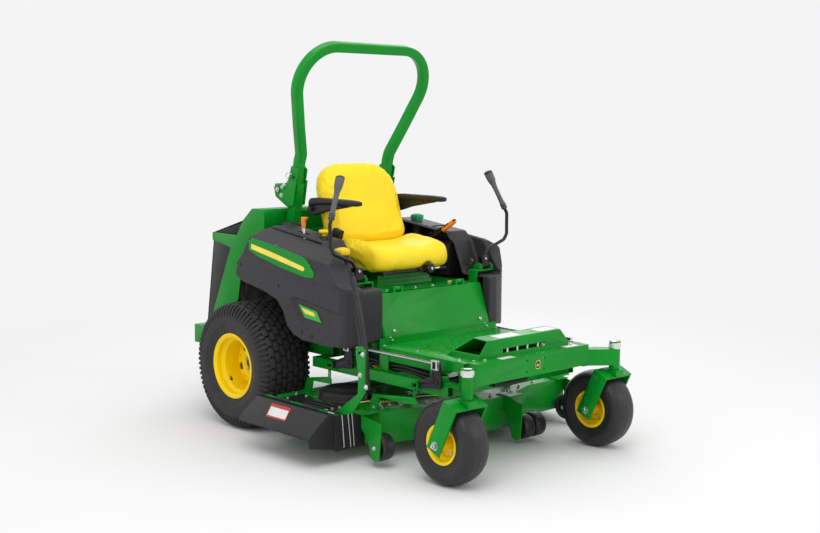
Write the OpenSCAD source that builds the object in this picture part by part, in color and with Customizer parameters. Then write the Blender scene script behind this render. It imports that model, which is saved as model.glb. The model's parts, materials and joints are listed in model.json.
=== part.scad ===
// Ride-on zero turn mower with a side discharge deck, in millimetres.
// The front faces -Y, +X is the operator's left and +Z is up.
// Every module works from the rear axle; place() moves it to the middle of the footprint.

/* [Wheels] */
// Radius of a drive tyre
drive_r = 330; // [326:1:332]
// Width of a drive tyre
drive_w = 305; // [290:1:308]
// Distance between the drive tyres' middles
drive_track = 1045; // [1042:1:1060]
// Radius of a caster tyre
caster_r = 190; // [184:1:191]
// Width of a caster tyre
caster_w = 152; // [140:1:156]
// Distance between the caster pivots
caster_track = 1030; // [1020:1:1036]
// Distance from the rear axle to the caster pivots
pivot_reach = 1572; // [1566:1:1578]
// Distance that a caster wheel trails its pivot
caster_trail = 98; // [94:1:100]

/* [Roll bar] */
// Side of the square roll bar tube
rops_tube = 50; // [44:1:54]
// Distance from the middle plane to a post
rops_x = 308; // [306:1:310]
// Bend radius of the hoop's upper corners
hoop_bend = 200; // [180:5:210]
// Height of the straight top tube above the hoop's foot, along the hoop
hoop_rise = 624; // [600:4:640]

/* [Frame] */
// Half width of the floor plate
floor_x = 405; // [395:1:410]
// Height of the floor plate's top
floor_z = 526; // [522:1:530]
// Height of the front beam's top
beam_z = 528; // [526:1:532]
// Half length of the front beam
beam_x = 388; // [380:1:395]
// Half width of the rear guard
guard_x = 450; // [446:1:456]

/* [Seat] */
// Half width of the seat cushion
seat_x = 258; // [250:1:262]
// Height of the seat platform's top
platform_z = 766; // [764:1:770]

/* [Deck] */
// Height of the deck's lower edge
deck_low = 75; // [70:1:80]
// Height of the deck's top plate
deck_top = 235; // [233:1:237]
// Length of a blade
blade_len = 528; // [500:2:532]
// Sideways distance between spindles
spindle_gap = 490; // [488:1:494]
// Distance that the middle spindle stands ahead of the others
spindle_lead = 215; // [212:1:218]
// Wall thickness of the deck shell
deck_wall = 4; // [3:0.5:5]

/* [Hidden] */
$fn = 48;
axle_y = 497.5;
plate = 6;
fit = 0.05;

drive_x = drive_track / 2;
caster_x = caster_track / 2;
caster_y = -pivot_reach + caster_trail;
fork_tilt = atan(caster_trail / 210);
rim_r = 168;

rops_lean = 9.5;
hoop_lean = 20;
hoop_flare = 16.4;
post_base = [27, 462];
pivot_fold = [0, 1237];
stub_z = 1276;
foot_z = 1387;

rail_front = [400, 440, 362, 412];
rail_rear = [290, 340, 400, 460];

lever_x = 440;
lever_y = -745;
lever_z = 838;
swing_z = 880;

spindle_y = -640;
spindles = [[-410, spindle_y], [-410 + spindle_gap, spindle_y - spindle_lead], [-410 + 2 * spindle_gap,
    spindle_y]];
hinge = [-704, 240];
arm_pin = [-232, 1146];
crank_x = 448;
crank_z = 426;
crank_arm = 135;
crank_drop = 13;
crank_rise = 88;
cranks_y = [-1318, -700];

green = "#0f7a2c";
dark = "#3a3a3d";
black = "#1c1c1e";
yellow = "#f6cf12";
steel = "#b9bcc0";
iron = "#55585c";
orange = "#f08a1c";
teal = "#159c74";

// ---------- helpers ----------
module place() { translate([0, axle_y, 0]) children(); }
module box(x0, x1, y0, y1, z0, z1) { translate([x0, y0, z0]) cube([x1 - x0, y1 - y0, z1 - z0]); }
// A side outline in Y and Z, extruded from x0 to x1
module side(x0, x1) { translate([x0, 0, 0]) rotate([90, 0, 90]) linear_extrude(x1 - x0) children(); }
// A front outline in X and Z, extruded from y0 to y1
module front(y0, y1) { translate([0, y1, 0]) rotate([90, 0, 0]) linear_extrude(y1 - y0) children(); }
// A plan outline in X and Y, extruded from z0 to z1
module plan(z0, z1) { translate([0, 0, z0]) linear_extrude(z1 - z0) children(); }
module rod_x(x0, x1, y, z, r) { translate([x0, y, z]) rotate([0, 90, 0]) cylinder(h = x1 - x0, r = r); }
module rod_y(y0, y1, x, z, r) { translate([x, y0, z]) rotate([-90, 0, 0]) cylinder(h = y1 - y0, r = r); }
module rod_z(z0, z1, x, y, r) { translate([x, y, z0]) cylinder(h = z1 - z0, r = r); }
// A round bar from p to q
module bar(p, q, r) {
    d = q - p;
    translate(p) rotate([0, acos(d[2] / norm(d)), atan2(d[1], d[0])]) cylinder(h = norm(d), r = r);
}
// A round bar along a list of points, with a ball at each inner point
module bent_bar(pts, r, swell = 0) {
    for (i = [0 : len(pts) - 2]) bar(pts[i], pts[i + 1], r);
    for (i = [1 : len(pts) - 2]) translate(pts[i]) sphere(r = r + swell);
}
module both() { for (s = [-1, 1]) scale_side(s) children(); }
module scale_side(s) { if (s > 0) children(); else mirror([1, 0, 0]) children(); }
// Turns an outline given as [radius, along] about the X axis at y, z
module turn_x(x, y, z) { translate([x, y, z]) rotate([0, 90, 0]) rotate_extrude() children(); }
// The outline pts moved inwards by d; pts run anticlockwise
function inset(pts, d) = let (n = len(pts)) [for (i = [0 : n - 1])
    let (a = pts[(i + n - 1) % n], b = pts[i], c = pts[(i + 1) % n],
         u = (b - a) / norm(b - a), v = (c - b) / norm(c - b),
         nu = [-u[1], u[0]], nv = [-v[1], v[0]], m = (nu + nv) / (1 + nu * nv))
    b + d * m];

// ---------- frame ----------
// The members are separate tubes and plates, a weld's width apart
weld = 0.2;
module mount_plate() {
    // Carries a wheel motor under the rear rail
    difference() {
        side(rail_rear[1] + weld, 349) polygon([[-90, 455], [-90, 320], [-60, 255], [60, 255], [90, 320],
            [90, 455]]);
        rod_x(330, 350, 0, drive_r, 45 + 0.5);
    }
}
module bearing_block(y) {
    difference() {
        box(rail_front[0], rail_front[1], y - 24, y + 24, rail_front[3] + weld, crank_z + 22);
        rod_x(rail_front[0] - 1, rail_front[1] + 1, y, crank_z, 12 + fit);
    }
}
module tube_along_y(x0, x1, y0, y1, z0, z1, wall) {
    difference() {
        box(x0, x1, y0, y1, z0, z1);
        box(x0 + wall, x1 - wall, y0 - 1, y1 + 1, z0 + wall, z1 - wall);
    }
}
module tube_along_x(x0, x1, y0, y1, z0, z1, wall) {
    difference() {
        box(x0, x1, y0, y1, z0, z1);
        box(x0 - 1, x1 + 1, y0 + wall, y1 - wall, z0 + wall, z1 - wall);
    }
}
module tube_upright(x0, x1, y0, y1, z0, z1, wall) {
    difference() {
        box(x0, x1, y0, y1, z0, z1);
        box(x0 + wall, x1 - wall, y0 + wall, y1 - wall, z0 - 1, z1 + 1);
    }
}
module main_frame() color(green) {
    front_in = rail_front[0] - weld;
    rear_in = rail_rear[0] - weld;
    both() {
        tube_along_y(rail_front[0], rail_front[1], -1375, -400, rail_front[2], rail_front[3], 5);
        tube_along_y(rail_rear[0], rail_rear[1], -440, 658, rail_rear[2], rail_rear[3], 5);
        // gusset that joins the front rail to the rear rail
        plan(rail_rear[2], rail_front[3]) polygon([[rail_rear[1] + weld, -440], [front_in, -440], [front_in,
            -400], [rail_rear[1] + weld, -390]]);
        mount_plate();
        for (y = cranks_y) bearing_block(y);
        // uprights that carry the floor and the seat box
        box(405, 411, -1290, -1230, rail_front[3] + weld, floor_z - 10);
        box(405, 411, -940, -880, rail_front[3] + weld, floor_z - 10);
        tube_upright(300, 340, -420, -380, rail_rear[3] + weld, platform_z - 10, 4);
        tube_upright(300, 340, -172, -132, rail_rear[3] + weld, platform_z - 10, 4);
        tube_upright(300, 340, -780, -740, rail_front[3] + 30 + weld, platform_z - 10, 4);
        box(300, 440, -780, -740, rail_front[3] + weld, rail_front[3] + 30);
    }
    tube_along_x(-300 + weld, 300 - weld, -172, -132, 700, 738, 4);
    tube_along_x(-270, 270, -172, -132, 738 + weld, platform_z - 6, 4);
    tube_along_x(-front_in, front_in, -1375, -1345, rail_front[2], rail_front[3] - 8, 4);
    tube_along_x(-front_in, front_in, -980, -940, rail_front[2], rail_front[3], 4);
    tube_along_x(-rear_in, rear_in, -440, -400, rail_rear[2], rail_rear[3], 4);
    tube_along_x(-rear_in, rear_in, 60, 110, 430, 462, 4);
    tube_along_x(-rear_in, rear_in, 260, 310, 430, 462, 4);
    tube_along_x(-rear_in, rear_in, 380, 420, rail_rear[2], rail_rear[3], 4);
    // hitch plate with its pin hole
    difference() {
        box(-60, 60, 545, 650, 452, 462);
        rod_z(440, 470, 0, 620, 10);
    }
    box(-rear_in, rear_in, 545, 596, 430, 452 - weld);
}

module front_beam() color(green) {
    difference() {
        union() {
            difference() {
                box(-beam_x, beam_x, -1511, -1450, 428, beam_z);
                box(-beam_x - 1, beam_x + 1, -1505, -1440, 434, beam_z - 6);
            }
            both() {
                difference() {
                    plan(422, 502) polygon([[beam_x, -1511], [500, -1596], [538, -1560], [470, -1476],
                        [beam_x, -1445]]);
                    plan(428, 496) polygon([[beam_x + 8, -1505], [495, -1585], [525, -1560], [462, -1483],
                        [beam_x + 8, -1455]]);
                }
                rod_z(402, 514, caster_x, -pivot_reach, 27);
                box(beam_x - 6, beam_x, -1511, -1450, 422, beam_z);
                box(395, 440, -1475, -1346, rail_front[3], 428);
            }
        }
        both() rod_z(401, 515, caster_x, -pivot_reach, 20);
        // four holes for a weight bracket
        for (x = [-60, 60], z = [452, 504]) rod_y(-1520, -1500, x, z, 5.5);
    }
    both() difference() {
        rod_z(514, 538, caster_x, -pivot_reach, 28);
        rod_z(513, 532, caster_x, -pivot_reach, 24);
    }
}

module floor_plate() color(green) {
    // tread plate with down-turned sides and an upturned rear flange
    difference() {
        union() {
            box(-floor_x, floor_x, -1450, -872, floor_z - 5, floor_z);
            both() side(floor_x - 5, floor_x) polygon([[-1440, floor_z], [-872, floor_z], [-872, 462],
                [-1180, 462], [-1360, 478], [-1440, 478]]);
            box(-floor_x, floor_x, -877, -872, floor_z - 5, floor_z + 34);
        }
        for (x = [-240 : 80 : 240], y = [-1150 : 60 : -940]) rod_z(floor_z - 6, floor_z + 1, x, y, 5);
    }
    // dimples, as low domes
    for (x = [-280 : 80 : 280], y = [-1180 : 60 : -940]) rod_z(floor_z - 3, floor_z + 3, x, y, 7);
    // raised foot rest
    difference() {
        side(-310, 310) polygon([[-1447, floor_z], [-1447, floor_z + 20], [-1442, floor_z + 84], [-1350,
            floor_z + 88], [-1240, floor_z]]);
        side(-306, 306) polygon([[-1443, floor_z - 1], [-1443, floor_z + 20], [-1438, floor_z + 80], [-1352,
            floor_z + 84], [-1246, floor_z - 1]]);
        // clipped corners
        both() front(-1460, -1200) polygon([[311, floor_z + 20], [311, floor_z + 100], [238, floor_z + 100]]);
        box(-155, 145, -1460, -1436, floor_z + 18, floor_z + 36);
    }
    both() side(303, 306) polygon([[-1443, floor_z], [-1443, floor_z + 22], [-1270, floor_z + 22], [-1246,
        floor_z]]);
}

module kick_panel() color(green) {
    // sloping panel below the seat, closing the front of the seat box
    side(-360, 360) polygon([[-797, platform_z - 2], [-792, platform_z - 2], [-828, 650], [-860, 566],
        [-866, 540],
        [-872, 540], [-866, 566], [-834, 650]]);
    both() {
        // shelf beside the seat platform, and the side wall below it
        box(284, 366, -790, -120, platform_z - 10, platform_z - 4);
        side(360, 366) polygon([[-797, platform_z - 10], [-120, platform_z - 10], [-120, 640], [-440, 560],
            [-864, 560], [-834, 650]]);
        // two ears that hold a lever's fore-and-aft pin
        box(360, 488, -775, -715, 818, 824);
        box(360, 366, -775, -715, platform_z - 6, 824);
        for (x = [398, 478]) difference() {
            side(x, x + 6) polygon([[-775, 824], [-775, 840], [-757, 858], [-733, 858], [-715, 840], [-715,
                824]]);
            rod_x(x - 1, x + 7, lever_y, lever_z, 8);
        }
        rod_x(396, 488, lever_y, lever_z, 8);
    }
    // tilt hinge ears and their pins at the front of the seat box
    for (x = [-240, -190, 190, 240]) difference() {
        box(x - 4, x + 4, -797, -770, platform_z - 4, 792);
        rod_x(x - 5, x + 5, -783, 780, 5);
    }
    for (x = [-215, 215]) rod_x(x - 32, x + 32, -783, 780, 5);
}

// ---------- bodywork ----------
// Side outlines of a fender's three mouldings: the outer one, the console and the front box
fender_low = [[-860, 800], [-856, 532], [-742, 525], [-533, 528], [-455, 550], [-402, 587],
    [-368, 659], [-323, 706], [-226, 737], [-26, 772]];
fender_outer = concat([[33, 801], [24, 871], [-35, 920], [-118, 1050], [-672, 975], [-694, 964], [-800,
    829], [-846, 813]], fender_low);
console_side = [[33, 801], [24, 871], [-35, 920], [-118, 1050], [-150, 1064], [-555, 1014], [-598, 962],
    [-667, 804],
    [-667, 545], [-533, 545], [-470, 552], [-402, 587], [-368, 659], [-323, 706], [-226, 737], [-26, 772]];
front_side = [[-667 - weld, 799], [-850, 799], [-860, 790], [-857, 545], [-667 - weld, 545]];
fender_skin = 6;
fender_split = 500;
module fender_shell() {
    // outer moulding, open towards the console
    difference() {
        side(fender_split + weld, 612) polygon(fender_outer);
        side(fender_split - 1, 612 - fender_skin) polygon(inset(fender_outer, fender_skin));
    }
    side(fender_split + weld, fender_split + fender_skin) difference() {
        polygon(fender_outer);
        polygon(console_side);
        polygon(front_side);
        polygon([[-700, 500], [-700, 790], [-600, 790], [-600, 500]]);
    }
    // console, open on both sides
    difference() {
        side(366, fender_split) polygon(console_side);
        side(360, fender_split + 1) polygon(inset(console_side, fender_skin));
    }
    side(fender_split - fender_skin, fender_split) difference() {
        polygon(console_side);
        polygon(fender_outer);
    }
    // front box
    difference() {
        side(366, fender_split) polygon(front_side);
        side(360, fender_split - fender_skin) polygon(inset(front_side, fender_skin));
    }
}
module trim_plate() {
    side(612, 617) polygon([[-72, 941], [-64, 955], [-103, 1010], [-125, 1014], [-520, 958], [-552, 936],
        [-612, 846], [-598, 836]]);
}
// Collar that closes the console around a roll bar post
module post_collar() {
    difference() {
        box(262, 384, -150, -20, 1040, 1058);
        box(274, 346, -138, -26, 1030, 1090);
    }
}
module fender_right() color(dark) mirror([1, 0, 0]) {
    difference() {
        union() {
            fender_shell();
            // boss that guides the blade switch, and the post under the height dial
            rod_z(1000, 1028, 430, -480, 16);
            rod_z(860, 946, 450, -646, 26);
            box(424, 476, -646, -620, 860, 940);
        }
        rod_z(990, 1100, 430, -480, 8.5);
        rod_z(880, 950, 450, -646, 8 + fit);
        // slot for the throttle
        box(452, 468, -394, -316, 1020, 1070);
    }
    post_collar();
    trim_plate();
    rod_x(440, 480, -355, 1000, 6);
    for (x = [440, 474]) side(x, x + 6) polygon([[-385, 985], [-325, 985], [-325, 1041], [-385, 1033]]);
}
module fender_left() color(dark) {
    difference() {
        fender_shell();
        rod_z(980, 1080, 430, -241, 30);
    }
    post_collar();
    trim_plate();
    side(366, 372) polygon([[-500, 972], [-400, 984], [-400, 1032], [-500, 1018]]);
    rod_x(336, 366, -440, 985, 7);
}

// ---------- roll bar ----------
function lean(z) = post_base[0] - (z - post_base[1]) * tan(rops_lean);
module fold_plate(x0, x1, top) {
    difference() {
        side(x0, x1) polygon([[lean(1150) + 20, 1150], [lean(1150) - 34, 1160], [lean(top) - 36, top],
            [lean(top) + 36, top], [lean(1270) + 40, 1275], [30, 1268], [42, 1245], [30, 1200]]);
        rod_x(x0 - 1, x1 + 1, pivot_fold[0], pivot_fold[1], 9 + fit);
    }
}
module rops_posts() color(green) {
    half = rops_tube / 2;
    both() {
        difference() {
            side(rops_x - half, rops_x + half) polygon([[post_base[0] - 30, post_base[1] - 2],
                [post_base[0] + 30, post_base[1] - 2], [lean(1272) + 30, 1272], [lean(1272) - 30, 1272]]);
            side(rops_x - half + 5, rops_x + half - 5) polygon([[post_base[0] - 25, post_base[1] + 6],
                [post_base[0] + 25, post_base[1] + 6], [lean(1266) + 25, 1266], [lean(1266) - 25, 1266]]);
        }
        for (x = [rops_x - half - 14, rops_x + half + 8]) fold_plate(x, x + plate, 1290);
        for (x = [rops_x - half - 8, rops_x + half]) side(x, x + 8)
            polygon([[lean(1160) - 28, 1160], [lean(1160) + 28, 1160], [lean(1205) + 28, 1205],
                [lean(1205) - 28, 1205]]);
        rod_x(rops_x - half - 22, rops_x + half + 22, pivot_fold[0], pivot_fold[1], 9);
        rod_x(rops_x + half + 14, rops_x + half + 22, pivot_fold[0], pivot_fold[1], 15, $fn = 6);
        rod_x(rops_x - half - 22, rops_x - half - 14, pivot_fold[0], pivot_fold[1], 15, $fn = 6);
    }
    box(-rops_x + half, rops_x - half, lean(1005) - 22, lean(1005) + 22, 985, 1025);
}
// The hoop's outline, flat: X is sideways and Y runs up the hoop from the foot
hoop_start = 30;
hoop_steps = 28;
function arc(c, r, a0, a1, n) = [for (i = [0 : n]) c + r * [cos(a0 + (a1 - a0) * i / n),
    sin(a0 + (a1 - a0) * i / n)]];
function flip(pts) = [for (i = [len(pts) - 1 : -1 : 0]) [-pts[i][0], pts[i][1]]];
hoop_centre = [228, hoop_rise - hoop_bend];
hoop_out = concat([[rops_x + rops_tube / 2, hoop_start]], arc(hoop_centre, hoop_bend + rops_tube / 2,
    -hoop_flare, 90, hoop_steps));
hoop_in = concat([[rops_x - rops_tube / 2, hoop_start]], arc(hoop_centre, hoop_bend - rops_tube / 2,
    -hoop_flare, 90, hoop_steps));
hoop_inner_back = [for (i = [len(hoop_in) - 1 : -1 : 0]) hoop_in[i]];
module rops_hoop() color(green) {
    h = rops_tube / 2;
    c = [lean(foot_z), foot_z];
    up = [-sin(hoop_lean), cos(hoop_lean)];
    low = [-sin(rops_lean), cos(rops_lean)];
    mid = (hoop_lean + rops_lean) / 2;
    m = [cos(mid), sin(mid)] * h / cos((hoop_lean - rops_lean) / 2);
    across = [cos(hoop_lean), sin(hoop_lean)] * h;
    translate([0, c[0], c[1]]) rotate([90 + hoop_lean, 0, 0]) translate([0, 0, -h]) linear_extrude(rops_tube)
        polygon(concat(hoop_out, flip(hoop_out), [for (p = hoop_in) [-p[0], p[1]]], hoop_inner_back));
    both() {
        side(rops_x - h, rops_x + h) polygon([c + m, c + hoop_start * up + across,
            c + hoop_start * up - across, c - m,
            c - m - low * (c[1] - m[1] - stub_z) / low[1], c + m - low * (c[1] + m[1] - stub_z) / low[1]]);
        for (x = [rops_x - h - 6.5, rops_x + h + 0.5]) difference() {
            side(x, x + 6) polygon([[-146, 1294], [-158, 1346], [-142, 1360], [-98, 1364], [-66, 1280],
                [-12, 1262], [16, 1258], [22, 1240], [14, 1219], [-16, 1216], [-60, 1250], [-120, 1282]]);
            rod_x(x - 1, x + 8, pivot_fold[0], pivot_fold[1], 9 + fit);
        }
        rod_x(rops_x - h - 20, rops_x + h + 20, -114, 1322, 6);
        side(rops_x - h - 6.5, rops_x + h + 6.5) polygon([[-130, 1300], [-105, 1300], [-108, 1312], [-133,
            1312]]);
    }
}

// ---------- rear end ----------
guard_side = [[-8, 905], [-8, 1120], [6, 1135], [100, 1135], [181, 1070], [240, 985], [473, 985], [473, 941],
    [300, 912], [466, 561], [512, 447], [664, 447], [664, 345], [372, 345], [364, 440], [320, 560],
    [234, 634], [184, 891], [170, 905]];
module rear_guard() color(green) {
    both() side(guard_x - 4, guard_x) polygon(guard_side);
    side(-guard_x + 4, guard_x - 4) polygon([[-8, 905], [-8, 1120], [6, 1135], [100, 1135], [181, 1070],
        [178, 1067], [98, 1131], [8, 1131], [-4, 1119], [-4, 905]]);
    box(-guard_x + 4, guard_x - 4, 469, 473, 941, 985);
    difference() {
        union() {
            box(-guard_x + 4, guard_x - 4, 658, 664, 345, 447);
            box(-guard_x + 4, guard_x - 4, 600, 658, 441, 447);
        }
        // four holes for an accessory
        for (x = [-150, 150], z = [365, 415]) rod_y(650, 670, x, z, 6);
        // notch for the hitch plate
        box(-70, 70, 599, 652, 440, 448);
        both() box(285, 345, 599, 658, 440, 448);
    }
}
module rear_screens() color(black) {
    w = guard_x - 4;
    side(-w, w) polygon([[182, 1065], [185, 1068], [466, 985], [465, 981]]);
    side(-w, w) polygon([[463, 940], [468, 940], [542, 460], [537, 460]]);
    both() {
        side(w - 4, w) polygon([[190, 1056], [240, 988], [440, 988]]);
        side(w - 4, w) polygon([[461, 938], [305, 910], [468, 566], [512, 462], [532, 462]]);
    }
    for (z = [560 : 90 : 920]) side(-w + 6, w - 6)
        polygon([[537 - (z - 460) * 0.154 - 12, z], [537 - (z - 460) * 0.154, z],
            [537 - (z - 460) * 0.154 - 1, z + 8], [537 - (z - 460) * 0.154 - 12, z + 8]]);
}
module radiator() color(iron) {
    box(-270, 270, 405, 445, 520, 900);
    box(-285, 285, 400, 450, 900, 932);
    box(-285, 285, 400, 450, 488, 520);
    for (x = [-285, 270]) box(x, x + 15, 400, 450, 520, 900);
    // fan shroud ring
    translate([0, 405, 710]) rotate([90, 0, 0]) difference() {
        cylinder(h = 60, r = 190);
        translate([0, 0, -1]) cylinder(h = 62, r = 184);
    }
    rod_z(932, 960, 180, 425, 24);
    box(-280, -240, 405, 445, rail_rear[3], 488);
    box(240, 280, 405, 445, rail_rear[3], 488);
}
module radiator_fan() color(dark) {
    rod_y(356, 396, 0, 710, 40);
    for (a = [0 : 60 : 300]) translate([0, 376, 710]) rotate([0, a, 0]) translate([30, -3, -28]) rotate([24,
        0, 0])
        cube([146, 5, 56]);
    rod_y(330, 356, 0, 710, 12);
}
module engine() color(iron) {
    difference() {
        union() {
            box(-150, 150, 30, 320, 520, 800);
            rod_y(320, 326, 0, 710, 24);
        }
        rod_y(300, 330, 0, 710, 12 + fit);
        box(-135, 135, 45, 305, 535, 785);
    }
    box(-135, 135, 40, 310, 800, 860);
    box(-100, 100, 60, 300, 860, 890);
    box(-130, 130, 50, 300, 462, 520);
    for (y = [70 : 60 : 250]) rod_x(-185, -150, y + 15, 720, 22);
    box(-205, -185, 60, 290, 690, 750);
    // silencer and its outlet
    rod_y(40, 300, 225, 800, 48);
    rod_y(300, 380, 225, 800, 18);
    box(150, 180, 100, 240, 770, 800);
    // air cleaner
    rod_x(-200, 60, 105, 960, 62);
    rod_x(-215, -200, 105, 960, 68);
    rod_z(890, 920, -60, 110, 30);
    // alternator and engine feet
    rod_y(210, 300, -205, 610, 42);
    box(-170, -150, 220, 290, 590, 630);
    for (x = [-280, 130], y = [60, 260]) box(x, x + 150, y, y + 50, 462, 474);
    // blade drive pulley below the crankshaft
    rod_z(436, 462, 0, 185, 60);
}
module hydraulic_drives() color(iron) {
    both() {
        difference() {
            union() {
                rod_x(200, 336, 0, drive_r, 60);
                rod_x(336, 372, 0, drive_r, 45);
            }
            rod_x(346, 373, 0, drive_r, 25 + fit);
        }
        // pump under the seat box, on its bracket
        box(60, 180, -240, -90, 468, 590);
        rod_y(-300, -240, 120, 530, 42);
        rod_z(590, 625, 120, -165, 20);
        rod_x(180, 215, -165, 540, 18);
    }
    box(-330, 330, -250, -190, rail_rear[3], 468);
}
module fuel_tank() color(black) {
    difference() {
        side(368, 598) polygon([[-560, 775], [-150, 775], [-120, 800], [-120, 945], [-560, 945]]);
        side(373, 593) polygon([[-555, 780], [-150, 780], [-125, 805], [-125, 940], [-555, 940]]);
    }
    // straps that hang the tank from the fender's sides
    for (y = [-520, -200]) box(598, 606, y, y + 40, 780, 900);
    difference() {
        rod_z(945, 1064, 430, -241, 28);
        rod_z(940, 1065, 430, -241, 24);
    }
}
module fuel_cap() color(teal) {
    difference() {
        union() {
            rod_z(1064.5, 1088, 430, -241, 36);
            for (a = [0 : 45 : 315]) rod_z(1066, 1088, 430 + 34 * cos(a), -241 + 34 * sin(a), 7);
            rod_z(1048, 1066, 430, -241, 23.9);
        }
        rod_z(1040, 1060, 430, -241, 19);
    }
}

// ---------- seat ----------
module seat_platform() color(green) {
    difference() {
        union() {
            box(-280, 280, -768, -124, platform_z - 6, platform_z);
            for (x = [-280, 275]) box(x, x + 5, -766, -124, platform_z - 26, platform_z - 6);
            // suspension box under the seat, stepped like bellows
            color(black) for (i = [0 : 2])
                box(-190 + 8 * i, 190 - 8 * i, -610 + 8 * i, -300 - 8 * i, platform_z + 18 * i,
                    platform_z + 18 + 18 * i);
            color(black) for (x = [-170, 150]) box(x, x + 20, -640, -270, 820, 830);
        }
        box(-166, 166, -586, -324, platform_z - 7, platform_z + 48);
    }
    for (x = [-215, 215]) difference() {
        union() {
            box(x - 19, x + 19, -783, -755, platform_z, 788);
            rod_x(x - 19, x + 19, -783, 780, 11);
        }
        rod_x(x - 22, x + 22, -783, 780, 5 + fit);
    }
}
module seat_pan() color(black) {
    // rails that run on the suspension, pan and back frame
    for (x = [-172, 148]) box(x, x + 24, -630, -290, 831, 838);
    box(-220, 220, -672, -250, 838, 850);
    side(-200, 200) polygon([[-264, 838], [-250, 838], [-250, 950], [-140, 1304], [-152, 1304], [-264, 960]]);
    // adjuster knob and latch at the front
    rod_y(-712, -672, 80, 846, 22, $fn = 8);
    rod_y(-706, -672, 25, 850, 9);
    both() {
        // armrest posts, either side of the back
        rod_x(196, 324, arm_pin[0], arm_pin[1], 9);
        side(190, 200) polygon([[arm_pin[0] - 4, arm_pin[1] - 12], [-190, arm_pin[1] - 12], [-190,
            arm_pin[1] + 12], [arm_pin[0] - 4, arm_pin[1] + 12]]);
    }
}
module seat_cushion() color(yellow) {
    difference() {
        side(-seat_x, seat_x) polygon([[-701, 864], [-712, 900], [-700, 946], [-650, 966], [-440, 972],
            [-331, 960], [-301, 930],
            [-290, 850], [-660, 850], [-672, 860]]);
        rod_y(-730, -660, 80, 846, 40);
    }
    both() side(seat_x - 70, seat_x) polygon([[-660, 950], [-440, 1004], [-386, 1000], [-377, 950]]);
}
module seat_back() color(yellow) {
    difference() {
        side(-seat_x, seat_x) polygon([[-366, 974], [-372, 1000], [-340, 1140], [-268, 1340], [-240, 1372],
            [-196, 1384], [-150, 1360],
            [-144, 1310], [-252, 960], [-258, 934], [-296, 936], [-330, 964]]);
        both() front(-600, 0) polygon([[300, 1200], [seat_x, 1240], [205, 1345], [120, 1390], [300, 1400]]);
        both() front(-600, 0) polygon([[300, 1060], [seat_x, 1030], [225, 930], [300, 900]]);
        // pocket for the back frame
        side(-200, 200) polygon([[-264, 920], [-264, 960], [-152, 1304], [-100, 1304], [-100, 920]]);
        rod_x(-seat_x - 1, seat_x + 1, arm_pin[0], arm_pin[1], 9.5);
        both() side(186, 202) polygon([[arm_pin[0] - 6, arm_pin[1] - 14], [-100, arm_pin[1] - 14], [-100,
            arm_pin[1] + 14], [arm_pin[0] - 6, arm_pin[1] + 14]]);
    }
}
module armrest() color(black) {
    difference() {
        side(268, 322) polygon([[-590, 1176], [-596, 1192], [-580, 1204], [-240, 1204], [-212, 1190], [-206,
            1140],
            [-216, 1116], [-244, 1112], [-340, 1140], [-520, 1172]]);
        rod_x(260, 330, arm_pin[0], arm_pin[1], 9 + fit);
    }
}

// ---------- drive wheels ----------
// Each section is one half, given as [radius, along the axle]
function whole(half) = concat(half, [for (i = [len(half) - 1 : -1 : 0]) [half[i][0], -half[i][1]]]);
drive_tyre_half = [for (p = [[152, 108], [152, 128], [168, 129.5], [180, 134], [205, 145], [235, 151.5],
    [260, drive_w / 2],
    [285, 149], [305, 140], [318, 125], [326, 105], [drive_r - 0.5, 80], [drive_r, 40]]) p];
drive_tyre_bore = [[150, 108], [170, 108], [190, 119], [220, 134], [255, 138], [280, 135], [298, 126], [308,
    110], [314, 80], [315, 30]];
drive_rim_out = [[168, 131], [160, 129], [152, 129], [152, 100], [134, 86]];
drive_rim_in = [[130, 88], [148, 102], [148, 131], [158, 134], [168, 135]];
caster_tyre_half = [[78, 40], [78, 56], [89, 57.5], [105, 66], [130, 74], [145, caster_w / 2], [160, 73],
    [175, 62], [184, 45],
    [caster_r - 1, 22], [caster_r, 8]];
caster_tyre_bore = [[76, 40], [92, 43], [108, 54], [130, 62], [145, 63], [158, 60], [168, 52], [175, 38],
    [178, 10]];
module drive_tyre() color(black) turn_x(drive_x, 0, drive_r) difference() {
    polygon(whole(drive_tyre_half));
    polygon(whole(drive_tyre_bore));
}
function rim_outline(o, i) = concat(whole(o), [for (k = [len(i) - 1 : -1 : 0]) [i[k][0], -i[k][1]]], i);
module drive_rim() color(yellow) {
    turn_x(drive_x, 0, drive_r) polygon(rim_outline(drive_rim_out, drive_rim_in));
    difference() {
        turn_x(drive_x, 0, drive_r)
            polygon([[24, 2], [60, 2], [78, 12], [110, 12], [126, 4], [131, 4], [131, -1], [124, -1], [110,
                7], [80, 7], [62, -3], [24, -3]]);
        for (a = [36 : 72 : 324]) translate([drive_x, 0, drive_r]) rotate([a, 0, 0]) translate([-20, 0, 94])
            rotate([0, 90, 0]) linear_extrude(60) polygon([[-11, -18], [11, -12], [11, 12], [-11, 18]]);
    }
    // hub with its shaft, studs and nuts
    rod_x(352, drive_x - 3, 0, drive_r, 25);
    rod_x(drive_x - 16, drive_x - 3, 0, drive_r, 62);
    rod_x(drive_x - 3, drive_x + 26, 0, drive_r, 24);
    for (a = [0 : 72 : 288]) rod_x(drive_x + 2, drive_x + 16, 44 * sin(a), drive_r + 44 * cos(a), 9.5,
        $fn = 6);
}

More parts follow.
